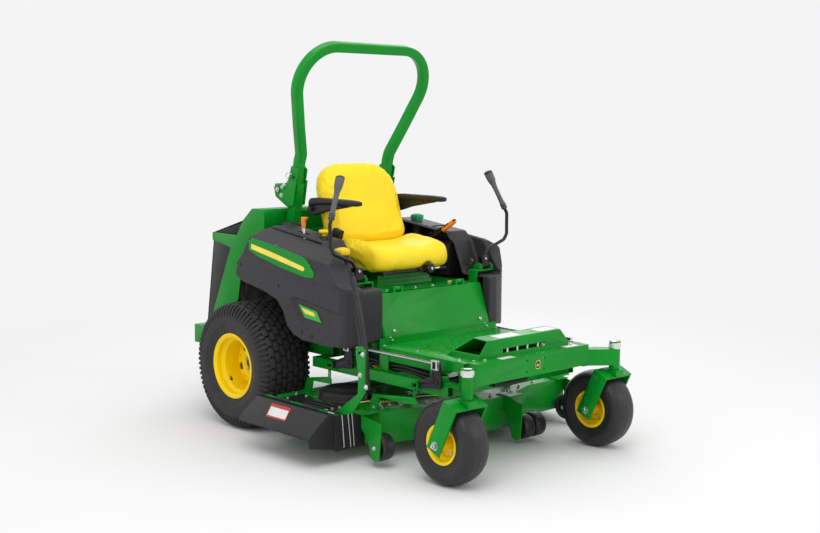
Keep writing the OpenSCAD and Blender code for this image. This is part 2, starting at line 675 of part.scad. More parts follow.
// ---------- casters ----------
fork_half = 100;
fork_plate = 9;
fork_top = 214;
module caster_fork() color(green) {
    difference() {
        union() {
            // bent plate, square to the tilted arms
            translate([caster_x, caster_y, caster_r]) rotate([fork_tilt, 0, 0]) {
                translate([-fork_half, -42, fork_top - fork_plate]) cube([2 * fork_half, 84, fork_plate]);
                for (x = [-fork_half, fork_half - fork_plate]) translate([x, -42, -32]) cube([fork_plate,
                    84, fork_top + 30]);
            }
            // wedge and stem
            side(caster_x - 28, caster_x + 28) polygon([[-pivot_reach - 36, 368], [-pivot_reach - 34, 398],
                [-pivot_reach + 28, 400], [-pivot_reach + 20, 392]]);
        }
        translate([caster_x, 0, 0]) rod_x(-fork_half - 1, fork_half + 1, caster_y, caster_r, 9);
    }
    rod_z(384, 511, caster_x, -pivot_reach, 20 - fit);
    // axle bolt with its nut
    rod_x(caster_x - fork_half - 4, caster_x + fork_half + 4, caster_y, caster_r, 9);
    for (x = [caster_x - fork_half - 11, caster_x + fork_half]) rod_x(x, x + 11, caster_y, caster_r, 15,
        $fn = 6);
}
module caster_tyre() color(black) turn_x(caster_x, caster_y, caster_r) difference() {
    polygon(whole(caster_tyre_half));
    polygon(whole(caster_tyre_bore));
}
module caster_rim() color(yellow) {
    turn_x(caster_x, caster_y, caster_r) polygon([[90, 59], [84, 57.5], [78, 57.5], [78, 36], [66, 28], [66,
        -28], [78, -36],
        [78, -57.5], [84, -57.5], [90, -59], [90, -63], [82, -62], [74, -58], [74, -38], [62, -30], [46,
            -8], [28, -6],
        [28, -80], [9 + fit, -80], [9 + fit, 80], [28, 80], [28, 6], [46, 8], [62, 30], [74, 38], [74, 58],
            [82, 62], [90, 63]]);
}

// ---------- steering levers ----------
module lever_yoke() color(black) {
    difference() {
        union() {
            rod_x(406, 474, lever_y, lever_z, 13);
            box(406, 474, lever_y - 18, lever_y + 18, lever_z, lever_z + 18);
            box(418, 462, lever_y - 18, lever_y - 10, lever_z + 18, swing_z + 18);
            box(418, 462, lever_y + 10, lever_y + 18, lever_z + 18, swing_z + 18);
        }
        rod_x(400, 480, lever_y, lever_z, 8 + fit);
        rod_y(lever_y - 20, lever_y + 20, lever_x, swing_z, 7);
    }
    rod_y(lever_y - 20, lever_y + 20, lever_x, swing_z, 7);
}
grip_base = [602, lever_y, 1136];
grip_top = [509, lever_y + 42, 1335];
grip_dir = (grip_top - grip_base) / norm(grip_top - grip_base);
lever_path = [[lever_x, lever_y, swing_z + 4], [470, lever_y, 926], [590, lever_y - 8, 972], [611,
    lever_y - 8, 999],
    grip_base - 24 * grip_dir];
module control_lever() color(black) {
    difference() {
        union() {
            rod_y(lever_y - 9.5, lever_y + 9.5, lever_x, swing_z, 16);
            bent_bar(concat(lever_path, [grip_base]), 9, 0.5);
        }
        rod_y(lever_y - 12, lever_y + 12, lever_x, swing_z, 7 + fit);
    }
}
module lever_grip() color("#6b6e73") {
    bar(grip_base, grip_base + 0.55 * (grip_top - grip_base), 13);
    bar(grip_base + 0.55 * (grip_top - grip_base), grip_top, 17);
    bar(grip_base, grip_base + 0.16 * (grip_top - grip_base), 15);
}

// ---------- deck ----------
// Plan outline, anticlockwise from the rear left
deck_plan = [[860, -950], [860, -430], [790, -355], [-630, -355], [-700, -425], [-700, -850], [-690, -890],
    [-520, -890], [-500, -985], [-330, -1000], [-90, -1130], [250, -1130], [480, -1040], [780, -1030]];
module deck_shell() color(green) {
    difference() {
        plan(deck_low, deck_top) polygon(deck_plan);
        plan(deck_low - 1, deck_top - deck_wall) polygon(inset(deck_plan, deck_wall));
        for (c = spindles) rod_z(deck_top - 10, deck_top + 1, c[0], c[1], 50);
        // discharge opening
        box(-710, -690, -845, -420, deck_low - 1, deck_top - deck_wall);
    }
    // baffle behind each blade circle
    for (c = spindles) plan(deck_top - 44, deck_top - deck_wall) intersection() {
        polygon(inset(deck_plan, deck_wall));
        difference() {
            translate(c) circle(r = 279);
            translate(c) circle(r = 275);
            translate([c[0] - 300, c[1] - 120]) square([600, 500]);
            for (o = spindles) if (o != c) translate(o) circle(r = 279);
        }
    }
}
module spindle_housings() color(iron) for (c = spindles) difference() {
    union() {
        rod_z(deck_top, deck_top + 6, c[0], c[1], 78);
        rod_z(150, deck_top, c[0], c[1], 49);
        for (a = [0 : 60 : 300]) rod_z(deck_top + 6, deck_top + 8, c[0] + 66 * cos(a), c[1] + 66 * sin(a),
            6, $fn = 6);
    }
    rod_z(140, deck_top + 20, c[0], c[1], 12.5 + fit);
}
module blade_at(i) color(steel) {
    c = spindles[i];
    translate([c[0], c[1], 0]) {
        translate([-blade_len / 2, -30, 97]) cube([blade_len, 60, 6]);
        for (s = [-1, 1]) translate([s * (blade_len / 2 - 45) - 40, s > 0 ? 22 : -30, 103]) cube([80, 8, 14]);
    }
    rod_z(97, 270, c[0], c[1], 12.5);
    rod_z(86, 97, c[0], c[1], 19, $fn = 6);
    rod_z(103, 149, c[0], c[1], 26);
    // belt pulley with its groove
    translate([c[0], c[1], 252]) rotate_extrude()
        polygon([[12, -8], [72, -8], [72, -6], [63, -2], [63, 6], [72, 10], [72, 12], [12, 12]]);
}
module belt_loop(r) { hull() for (c = spindles) translate(c) circle(r = r, $fn = 64); }
module drive_belt() color(black) {
    plan(251, 257) difference() { belt_loop(70); belt_loop(64); }
}
module belt_covers() color(black) {
    for (i = [0, 2]) {
        c = spindles[i];
        in = i == 0 ? 1 : -1;
        difference() {
            translate([c[0], c[1], deck_top]) rotate_extrude($fn = 96)
                polygon([[146, 0], [146, 6], [142, 8], [138, 38], [126, 47], [0, 50], [0, 46], [124, 43],
                    [134, 35], [138, 6], [138, 0]]);
            // slot that lets the belt out
            translate([c[0] + (in > 0 ? 0 : -160), c[1] - 160, deck_top + 12]) cube([160, 320, 16]);
            rod_z(deck_top, deck_top + 30, c[0], c[1], 80);
        }
    }
    // fixed guard at the deck's right front corner
    front(-896, -890) polygon([[-700, 62], [-520, 60], [-520, 234], [-700, 234]]);
}
// Plate that stands on the deck and holds one end of a lift chain
module chain_hanger(x, foot_y, tip_y) {
    d = tip_y > foot_y ? 1 : -1;
    side(x - 3, x + 3) polygon([[foot_y - d * 60, deck_top], [foot_y, deck_top], [foot_y + d * 14, 296],
        [tip_y + d * 14, 302],
        [tip_y + d * 12, 330], [tip_y - d * 10, 335], [foot_y - d * 34, 306]]);
    box(x - 20, x + 20, min(foot_y, foot_y - d * 60), max(foot_y, foot_y - d * 60), deck_top, deck_top + 5);
}
module chain_link(x, y, z, turned) {
    translate([x, y, z]) rotate([0, 0, turned ? 90 : 0]) rotate([0, 90, 0]) difference() {
        translate([0, 0, -2.5]) cylinder(h = 5, r = 9);
        translate([0, 0, -3]) cylinder(h = 6, r = 5);
    }
}
module shackle(x, y, z) {
    // loop with room for the crank's pin to swing
    difference() {
        box(x - 4, x + 4, y - 22, y + 22, z - 15, z + 16);
        box(x - 5, x + 5, y - 16, y + 16, z - 10, z + 11);
    }
}
module scalp_bracket(x, y, z, fore) {
    side(x - 3, x + 3) polygon([[y + fore, deck_top], [y - 50, deck_top - 20], [y - 36, z - 50], [y - 6,
        z - 62],
        [y + 20, z - 50], [y + 44, z + 34], [y + fore, deck_top - 60]]);
}
tip_dy = crank_arm * cos(crank_drop);
tip_z = crank_z - crank_arm * sin(crank_drop);
pin_x = 467;
module deck_brackets() color(green) {
    both() for (i = [0, 1]) {
        y = cranks_y[i] + tip_dy;
        chain_hanger(pin_x, i == 0 ? -930 : -425, y);
        shackle(pin_x, y, tip_z);
        for (k = [0 : 3]) chain_link(pin_x, y, tip_z - 21 - 11 * k, k % 2 == 0);
    }
    // anti-scalp wheel brackets with their axle bolts
    scalp_bracket(-602, -1060, 95, 90);
    box(-605, -506, -980, -850, deck_top, deck_top + 4);
    rod_x(-599, -520, -1060, 95, 8);
    scalp_bracket(198, -1210, 86, 80);
    box(195, 300, -1170, -1080, deck_top, deck_top + 4);
    rod_x(201, 380, -1210, 86, 8);
    scalp_bracket(778, -1100, 95, 69.6);
    box(700, 781, -1060, -980, deck_top, deck_top + 4);
    rod_x(696, 775, -1100, 95, 8);
    // chute hinge knuckles with their pin
    for (y = [-840, -620, -395]) difference() {
        box(-711, -692, y, y + 30, deck_top, deck_top + 14);
        rod_y(y - 1, y + 31, hinge[0], hinge[1] + 4, 5);
    }
    rod_y(-850, -360, hinge[0], hinge[1] + 4, 5);
    // stand that the chute lever turns on
    difference() {
        side(-652, -646) polygon([[-900, deck_top], [-960, deck_top + 14], [-1050, 360], [-1052, 560],
            [-1034, 576],
            [-994, 572], [-984, 545], [-1004, 440], [-1000, 350], [-840, deck_top]]);
        side(-653, -645) polygon([[-1036, 540], [-1000, 536], [-1004, 548], [-1032, 554]]);
        rod_x(-653, -645, -1018, 440, 7);
    }
    rod_x(-656, -630, -1018, 440, 7);
    box(-652, -600, -905, -842, deck_top, deck_top + 5);
    // deflector plate at the deck's left end
    side(700, 850) polygon([[-1010, deck_top + 4], [-1004, deck_top + 4], [-986, deck_top + 74], [-992,
        deck_top + 74]]);
    box(700, 850, -1010, -960, deck_top, deck_top + 4);
}
module chute_deflector() color(black) {
    front(-900, -345) polygon([[hinge[0] - 9, 246], [-748, 246], [-856, 156], [-860, 140], [-855, 140],
        [-851, 153], [-746, 240], [hinge[0] - 9, 240]]);
    front(-900, -895) polygon([[hinge[0] - 2, 230], [hinge[0] - 9, 243], [-748, 243], [-857, 153], [-858,
        104], [hinge[0] - 2, 72]]);
    for (y = [-780, -560]) difference() {
        union() {
            rod_y(y, y + 120, hinge[0], hinge[1] + 4, 8);
            box(-720, hinge[0], y, y + 120, 241, 246);
        }
        rod_y(y - 1, y + 121, hinge[0], hinge[1] + 4, 5 + fit);
    }
}
module antiscalp_wheel(x0, x1, y, z, r) color(black) {
    w = x1 - x0;
    translate([x0 + w / 2, y, z]) rotate([0, 90, 0]) rotate_extrude()
        polygon([[8 + fit, -w / 2], [22, -w / 2], [24, -8], [44, -8], [48, -w / 2 + 2], [r - 8, -w / 2],
            [r - 2, -w / 2 + 6],
            [r, 0], [r - 2, w / 2 - 6], [r - 8, w / 2], [48, w / 2 - 2], [44, 8], [24, 8], [22, w / 2],
                [8 + fit, w / 2]]);
}

// ---------- deck lift ----------
module lift_crank(y) color(black) {
    rod_x(-crank_x - 12, crank_x + 12, y, crank_z, 12);
    both() {
        side(crank_x, crank_x + 8) polygon([[y - 26, crank_z - 26], [y + tip_dy + 10, tip_z - 16],
            [y + tip_dy + 16, tip_z + 8],
            [y + tip_dy - 10, tip_z + 20], [y + 36, crank_z + 22], [y + 18, crank_z + crank_rise + 12],
            [y - 18, crank_z + crank_rise + 12], [y - 32, crank_z + 10]]);
        rod_x(crank_x + 8, pin_x + 14, y + tip_dy, tip_z, 6);
        rod_x(crank_x + 8, crank_x + 26, y, crank_z + crank_rise, 6);
    }
}
module lift_rod() color(steel) both() {
    y0 = cranks_y[0];
    y1 = cranks_y[1];
    z = crank_z + crank_rise;
    rod_y(y0 + 14, y1 - 14, crank_x + 17, z, 8);
    for (y = [y0, y1]) difference() {
        box(crank_x + 9, crank_x + 25, y - 20, y + 20, z - 28, z + 16);
        box(crank_x + 8, crank_x + 26, y - 10, y + 10, z - 23, z + 9);
    }
}
module chute_lever() color(black) {
    difference() {
        union() {
            side(-644, -634) polygon([[-1050, 330], [-1030, 326], [-1002, 440], [-1010, 520], [-940, 860],
                [-956, 864], [-1034, 520], [-1036, 440]]);
            rod_x(-645, -634, -1018, 440, 20);
        }
        rod_x(-660, -630, -1018, 440, 7 + fit);
    }
    bar([-639, -948, 855], [-639, -938, 905], 13);
}

// ---------- small controls ----------
module brake_lever() color(black) {
    difference() {
        union() {
            rod_x(342, 352, -440, 985, 16);
            side(342, 352) polygon([[-436, 972], [-452, 968], [-560, 1036], [-556, 1050], [-446, 1000]]);
        }
        rod_x(340, 354, -440, 985, 7 + fit);
    }
    bar([347, -552, 1040], [347, -622, 1076], 11);
}
module throttle_lever() color(orange) {
    difference() {
        union() {
            rod_x(455, 465, -355, 1000, 12);
            side(456, 464) polygon([[-362, 1000], [-366, 1060], [-378, 1112], [-366, 1120], [-330, 1112],
                [-332, 1098], [-352, 1090], [-348, 1000]]);
        }
        rod_x(450, 470, -355, 1000, 6 + fit);
    }
}
dial = [-450, -646];
module height_dial() color(yellow) {
    for (a = [0 : 60 : 300]) rod_z(950, 988, dial[0] + 26 * cos(a), dial[1] + 26 * sin(a), 14);
    rod_z(950, 988, dial[0], dial[1], 34);
    rod_z(900, 950, dial[0], dial[1], 8);
}
module pto_knob() color(yellow) {
    rod_z(1032, 1052, -430, -480, 8.4);
    rod_z(1052, 1066, -430, -480, 20);
    rod_z(1002, 1032, -430, -480, 8.4);
}
module fasteners() color(steel) {
    // floor plate bolts and foot rest bolts
    for (x = [-390, 390], y = [-1400, -890]) rod_z(floor_z, floor_z + 6, x, y, 9, $fn = 6);
    for (x = [-340, 340]) rod_z(floor_z, floor_z + 6, x, -1440, 9, $fn = 6);
    for (x = [-330, 330]) rod_y(-884, -877, x, floor_z + 20, 7, $fn = 6);
    both() for (z = [345, 418]) rod_y(664, 669, 315, z + 12, 8, $fn = 6);
    // motor bolts
    both() for (a = [45 : 90 : 315]) rod_x(349, 356, 55 * cos(a), drive_r + 55 * sin(a), 9, $fn = 6);
}

place() main_frame();
place() front_beam();
place() floor_plate();
place() kick_panel();
place() fender_right();
place() fender_left();
place() rops_posts();
place() rops_hoop();
place() rear_guard();
place() rear_screens();
place() radiator();
place() radiator_fan();
place() engine();
place() hydraulic_drives();
place() fuel_tank();
place() fuel_cap();
place() fasteners();
place() seat_platform();
place() seat_pan();
place() seat_cushion();
place() seat_back();
place() mirror([1, 0, 0]) armrest();  // armrest_right
place() armrest();  // armrest_left
place() mirror([1, 0, 0]) drive_tyre();  // drive_tyre_right
place() drive_tyre();  // drive_tyre_left
place() mirror([1, 0, 0]) drive_rim();  // drive_rim_right
place() drive_rim();  // drive_rim_left
place() mirror([1, 0, 0]) caster_fork();  // caster_fork_right
place() caster_fork();  // caster_fork_left
place() mirror([1, 0, 0]) caster_tyre();  // caster_tyre_right
place() caster_tyre();  // caster_tyre_left
place() mirror([1, 0, 0]) caster_rim();  // caster_rim_right
place() caster_rim();  // caster_rim_left
place() mirror([1, 0, 0]) lever_yoke();  // lever_yoke_right
place() lever_yoke();  // lever_yoke_left
place() mirror([1, 0, 0]) control_lever();  // control_lever_right
place() control_lever();  // control_lever_left
place() mirror([1, 0, 0]) lever_grip();  // lever_grip_right
place() lever_grip();  // lever_grip_left
place() deck_shell();
place() belt_covers();
place() spindle_housings();
place() deck_brackets();
place() drive_belt();
place() chute_deflector();
place() blade_at(0);  // blade_right
place() blade_at(1);  // blade_centre
place() blade_at(2);  // blade_left
place() antiscalp_wheel(-594, -524, -1060, 95, 65);  // antiscalp_wheel_right
place() {  // antiscalp_wheels_centre
    antiscalp_wheel(216, 288, -1210, 86, 62);
    antiscalp_wheel(300, 372, -1210, 86, 62);
}
place() antiscalp_wheel(700, 770, -1100, 95, 65);  // antiscalp_wheel_left
place() lift_crank(cranks_y[0]);  // lift_crank_front
place() lift_crank(cranks_y[1]);  // lift_crank_rear
place() lift_rod();
place() chute_lever();
place() brake_lever();
place() mirror([1, 0, 0]) throttle_lever();
place() height_dial();
place() pto_knob();
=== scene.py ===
import json
import math

import bmesh
import bpy
from bpy.props import FloatProperty, FloatVectorProperty, IntProperty, PointerProperty
from mathutils import Matrix, Vector, noise

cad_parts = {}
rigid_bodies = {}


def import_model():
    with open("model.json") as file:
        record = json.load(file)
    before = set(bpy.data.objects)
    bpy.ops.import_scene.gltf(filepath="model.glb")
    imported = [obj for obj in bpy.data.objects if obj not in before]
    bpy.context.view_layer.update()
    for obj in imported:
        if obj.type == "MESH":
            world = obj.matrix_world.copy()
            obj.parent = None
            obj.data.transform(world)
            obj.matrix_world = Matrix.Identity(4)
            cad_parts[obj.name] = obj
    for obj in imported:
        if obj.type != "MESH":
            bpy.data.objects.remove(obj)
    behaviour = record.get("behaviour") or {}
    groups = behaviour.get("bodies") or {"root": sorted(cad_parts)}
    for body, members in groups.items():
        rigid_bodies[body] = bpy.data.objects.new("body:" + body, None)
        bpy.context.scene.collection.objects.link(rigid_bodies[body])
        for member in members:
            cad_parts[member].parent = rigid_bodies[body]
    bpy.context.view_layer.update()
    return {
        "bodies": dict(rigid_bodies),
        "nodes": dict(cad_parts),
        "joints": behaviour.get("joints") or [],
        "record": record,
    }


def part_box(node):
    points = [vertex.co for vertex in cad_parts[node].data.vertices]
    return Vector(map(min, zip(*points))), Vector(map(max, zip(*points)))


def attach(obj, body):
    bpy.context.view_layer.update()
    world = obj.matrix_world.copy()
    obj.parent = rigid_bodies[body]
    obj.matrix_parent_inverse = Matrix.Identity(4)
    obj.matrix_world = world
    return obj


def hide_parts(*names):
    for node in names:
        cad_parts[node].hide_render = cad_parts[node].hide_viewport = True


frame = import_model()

bl_info = {
    "name": "Zero turn mower dressing",
    "version": (1, 0, 0),
    "blender": (4, 5, 0),
    "location": "View3D > Sidebar > Mower",
    "description": "Builds the visible surfaces of a zero turn mower on its packed frame",
    "category": "Object",
}

low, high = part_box("drive_rim_left")
AXLE_Y = (low.y + high.y) / 2
RIGHT, LEFT = -1, 1


def at(x, y, z):
    """A point in millimetres from the rear axle, as metres in the frame."""
    return Vector((x / 1000, y / 1000 + AXLE_Y, z / 1000))


# ---------------------------------------------------------------- settings


class MowerPaint(bpy.types.PropertyGroup):
    green: FloatVectorProperty(name="Green paint", description="Powder coat of the frame and deck",
                               subtype="COLOR", size=3, default=(0.0, 0.25, 0.016), min=0, max=1)
    yellow: FloatVectorProperty(name="Yellow paint", description="Paint of the wheel rims",
                                subtype="COLOR", size=3, default=(1.0, 0.68, 0.0), min=0, max=1)
    seat: FloatVectorProperty(name="Seat cover", description="Vinyl of the cushion and the back",
                              subtype="COLOR", size=3, default=(0.97, 0.7, 0.02), min=0, max=1)
    shell: FloatVectorProperty(name="Fender plastic", description="Moulded plastic of the fenders",
                               subtype="COLOR", size=3, default=(0.026, 0.024, 0.028), min=0, max=1)


class MowerSizes(bpy.types.PropertyGroup):
    tread_depth: FloatProperty(name="Tread depth", description="Height of the drive tyre's blocks",
                               default=0.011, min=0.004, max=0.016, unit="LENGTH")
    tread_pitches: IntProperty(name="Tread pitches", description="Blocks in one row round the tyre",
                               default=36, min=20, max=48)
    paint_round: FloatProperty(name="Sheet edge", description="Rounding of painted sheet edges",
                               default=0.0016, min=0.0005, max=0.004, unit="LENGTH")
    seat_swell: FloatProperty(name="Seat swell", description="Most that the padding may puff out",
                              default=0.016, min=0.0, max=0.03, unit="LENGTH")


# ---------------------------------------------------------------- shader graphs


class Wire:
    """A shader socket that takes part in sums."""

    def __init__(self, graph, socket):
        self.graph = graph
        self.socket = socket

    def calc(self, operation, *values):
        return self.graph.node("ShaderNodeMath", {"operation": operation}, dict(enumerate(values)))

    def __add__(self, other):
        return self.calc("ADD", self, other)

    def __radd__(self, other):
        return self.calc("ADD", other, self)

    def __sub__(self, other):
        return self.calc("SUBTRACT", self, other)

    def __rsub__(self, other):
        return self.calc("SUBTRACT", other, self)

    def __mul__(self, other):
        return self.calc("MULTIPLY", self, other)

    def __rmul__(self, other):
        return self.calc("MULTIPLY", other, self)

    def __truediv__(self, other):
        return self.calc("DIVIDE", self, other)

    def __rtruediv__(self, other):
        return self.calc("DIVIDE", other, self)

    def __pow__(self, other):
        return self.calc("POWER", self, other)

    def __neg__(self):
        return self.calc("MULTIPLY", self, -1.0)

    def __gt__(self, other):
        return self.calc("GREATER_THAN", self, other)

    def __lt__(self, other):
        return self.calc("LESS_THAN", self, other)

    def clamped(self):
        return self.graph.node("ShaderNodeClamp", {}, {0: self})

    def part(self, axis):
        return self.graph.node("ShaderNodeSeparateXYZ", {}, {0: self}, "XYZ".index(axis))


class Finish:
    """A material with one Principled shader and the few nodes that vary it."""

    def __init__(self, name, **constants):
        self.material = bpy.data.materials.new(name)
        self.material.use_nodes = True
        self.tree = self.material.node_tree
        self.shader = self.tree.nodes["Principled BSDF"]
        for key, value in constants.items():
            if key == "colour":
                value = (*value, 1.0)
                key = "Base Color"
            self.shader.inputs[key.replace("_", " ")].default_value = value
        if "colour" in constants:
            self.material.diffuse_color = (*constants["colour"], 1.0)

    def node(self, kind, settings, inputs, output=0):
        n = self.tree.nodes.new(kind)
        for key, value in settings.items():
            if key == "stops":
                ramp = n.color_ramp.elements
                while len(ramp) < len(value):
                    ramp.new(0.5)
                for stop, (place, colour) in zip(ramp, value):
                    stop.position = place
                    stop.color = (*colour, 1.0)
            else:
                setattr(n, key, value)
        for key, value in inputs.items():
            if isinstance(value, Wire):
                self.tree.links.new(value.socket, n.inputs[key])
            else:
                n.inputs[key].default_value = value
        return Wire(self, n.outputs[output])

    def place(self):
        return self.node("ShaderNodeTexCoord", {}, {}, "Object")

    def grain(self, scale, detail=3.0, rough=0.55, output=0):
        return self.node("ShaderNodeTexNoise", {}, {"Vector": self.place(), "Scale": scale, "Detail": detail,
                                                    "Roughness": rough}, output)

    def between(self, wire, low, high, out_low=0.0, out_high=1.0):
        return self.node("ShaderNodeMapRange", {}, {0: wire, 1: low, 2: high, 3: out_low, 4: out_high})

    def mix(self, amount, first, second):
        n = self.tree.nodes.new("ShaderNodeMix")
        n.data_type = "RGBA"
        for key, value in ((0, amount), (6, first), (7, second)):
            if isinstance(value, Wire):
                self.tree.links.new(value.socket, n.inputs[key])
            elif key == 0:
                n.inputs[key].default_value = value
            else:
                n.inputs[key].default_value = (*value, 1.0)
        return Wire(self, n.outputs[2])

    def drive(self, name, wire):
        self.tree.links.new(wire.socket, self.shader.inputs[name])

    def relief(self, height, strength, depth):
        n = self.tree.nodes.new("ShaderNodeBump")
        n.inputs["Strength"].default_value = strength
        n.inputs["Distance"].default_value = depth
        self.tree.links.new(height.socket, n.inputs["Height"])
        self.tree.links.new(n.outputs[0], self.shader.inputs["Normal"])


def shade(colour, factor):
    return tuple(min(1.0, c * factor) for c in colour)


def painted(name, colour, roughness=0.3, coat=0.5, peel=0.08):
    """Powder coat: faint tone drift, orange peel, a little dust low down."""
    f = Finish(name, colour=colour, Roughness=roughness, Coat_Weight=coat, Coat_Roughness=0.12,
               Specular_IOR_Level=0.14)
    drift = f.grain(3.5, 3.0)
    tone = f.mix(f.between(drift, 0.35, 0.7), shade(colour, 0.9), shade(colour, 1.08))
    dust = f.between(f.place().part("Z"), 0.28, 0.05) * f.between(f.grain(9.0, 5.0), 0.45, 0.75) * 0.16
    f.drive("Base Color", f.mix(dust.clamped(), tone, (0.22, 0.19, 0.14)))
    f.drive("Roughness", f.between(f.grain(38.0, 4.0), 0.3, 0.75, roughness - 0.05, roughness + 0.08))
    f.relief(f.grain(420.0, 2.0), peel, 0.0004)
    return f.material


def moulded(name, colour, roughness=0.55, grit=0.22, scale=900.0, sheen=0.0):
    """Plastic with a fine spark-eroded texture and uneven sheen."""
    f = Finish(name, colour=colour, Roughness=roughness, Specular_IOR_Level=0.35, Sheen_Weight=sheen)
    cloud = f.grain(6.0, 4.0)
    f.drive("Base Color", f.mix(f.between(cloud, 0.3, 0.75), shade(colour, 0.88), shade(colour, 1.14)))
    f.drive("Roughness", f.between(f.grain(60.0, 5.0), 0.3, 0.7, roughness - 0.07, roughness + 0.07))
    f.relief(f.grain(scale, 2.0), grit, 0.0004)
    return f.material


def rubber(name, colour=(0.022, 0.021, 0.021), roughness=0.62):
    f = Finish(name, colour=colour, Roughness=roughness, Specular_IOR_Level=0.4)
    scuff = f.between(f.grain(14.0, 6.0, 0.7), 0.42, 0.72)
    f.drive("Base Color", f.mix(scuff * 0.5, shade(colour, 0.85), shade(colour, 1.7)))
    f.drive("Roughness", f.between(f.grain(90.0, 5.0), 0.3, 0.7, roughness - 0.1, roughness + 0.1))
    f.relief(f.grain(500.0, 4.0), 0.18, 0.0004)
    return f.material


def metal(name, colour, roughness=0.3, brushed=(1.0, 1.0, 1.0), tarnish=0.2):
    f = Finish(name, colour=colour, Roughness=roughness, Metallic=1.0)
    stretched = f.node("ShaderNodeVectorMath", {"operation": "MULTIPLY"}, {0: f.place(), 1: brushed})
    lines = f.node("ShaderNodeTexNoise", {}, {"Vector": stretched, "Scale": 160.0, "Detail": 4.0})
    f.drive("Base Color", f.mix(f.between(f.grain(20.0, 5.0), 0.4, 0.75) * tarnish, colour, shade(colour,
            0.45)))
    f.drive("Roughness", f.between(lines, 0.3, 0.7, roughness - 0.08, roughness + 0.1))
    f.relief(lines, 0.08, 0.0003)
    return f.material


def cast(name, colour):
    f = Finish(name, colour=colour, Roughness=0.6, Metallic=0.35)
    grit = f.grain(240.0, 6.0, 0.7)
    f.drive("Base Color", f.mix(f.between(f.grain(12.0, 5.0), 0.4, 0.7), shade(colour, 0.7), shade(colour,
            1.35)))
    f.relief(grit, 0.5, 0.0008)
    return f.material


def seat_vinyl(name, colour):
    """Smooth vinyl with a leather emboss, soft creases and a satin sheen."""
    f = Finish(name, colour=colour, Roughness=0.42, Specular_IOR_Level=0.2)
    pebbles = f.node("ShaderNodeTexVoronoi", {"feature": "DISTANCE_TO_EDGE"},
                     {"Vector": f.place(), "Scale": 480.0})
    drift = f.between(f.grain(5.0, 3.0), 0.35, 0.7)
    f.drive("Base Color", f.mix(drift, shade(colour, 0.93), shade(colour, 1.04)))
    f.drive("Roughness", f.between(f.grain(70.0, 4.0), 0.3, 0.7, 0.36, 0.5))
    f.relief(f.between(pebbles, 0.0, 0.28) + f.grain(46.0, 4.0) * 0.5, 0.1, 0.0006)
    return f.material


def finishes():
    """Every material, made once and kept by name."""
    if FINISHES:
        return FINISHES
    p = bpy.context.scene.mower_paint
    green, yellow, seat, shell = tuple(p.green), tuple(p.yellow), tuple(p.seat), tuple(p.shell)
    FINISHES.update(
        green_paint=painted("green powder coat", green, 0.3, 0.16),
        rim_paint=painted("yellow rim paint", yellow, 0.3, 0.2, 0.05),
        black_paint=painted("black powder coat", (0.012, 0.012, 0.013), 0.34, 0.3),
        shell=moulded("fender plastic", shell, 0.5, 0.3, 1100.0),
        black_plastic=moulded("black plastic", (0.014, 0.0135, 0.014), 0.46),
        deck_plastic=moulded("deflector plastic", (0.016, 0.0155, 0.017), 0.38, 0.2, 700.0),
        grip=moulded("grey grip rubber", (0.1, 0.104, 0.112), 0.58, 0.3),
        yellow_plastic=moulded("yellow knob plastic", (0.93, 0.6, 0.01), 0.35, 0.1),
        orange_plastic=moulded("orange handle plastic", (0.9, 0.23, 0.01), 0.38, 0.1),
        teal_plastic=moulded("teal cap plastic", (0.008, 0.3, 0.15), 0.38, 0.1),
        tyre=rubber("tyre rubber"),
        caster_tyre=rubber("smooth tyre rubber", (0.018, 0.0175, 0.018), 0.42),
        belt=rubber("belt rubber", (0.012, 0.012, 0.012), 0.6),
        hose=rubber("hose rubber", (0.01, 0.01, 0.01), 0.45),
        chrome=metal("chrome plate", (0.78, 0.78, 0.8), 0.12, tarnish=0.1),
        zinc=metal("bright zinc", (0.62, 0.63, 0.65), 0.28, (1.0, 0.06, 1.0)),
        gold_zinc=metal("gold zinc", (0.72, 0.5, 0.22), 0.32),
        blade=metal("ground steel", (0.3, 0.3, 0.31), 0.38, (0.05, 1.0, 1.0), 0.4),
        iron=cast("cast iron", (0.06, 0.062, 0.066)),
        alloy=cast("cast alloy", (0.3, 0.3, 0.3)),
        vinyl=seat_vinyl("yellow seat vinyl", seat),
        stripe=moulded("yellow stripe film", (0.9, 0.72, 0.09), 0.3, 0.05),
        badge=moulded("light green film", (0.03, 0.4, 0.045), 0.28, 0.05),
        label_white=moulded("blank white film", (0.72, 0.72, 0.7), 0.35, 0.02),
        label_red=moulded("blank red film", (0.5, 0.03, 0.02), 0.35, 0.02),
    )
    return FINISHES


FINISHES = {}


# ---------------------------------------------------------------- shapes


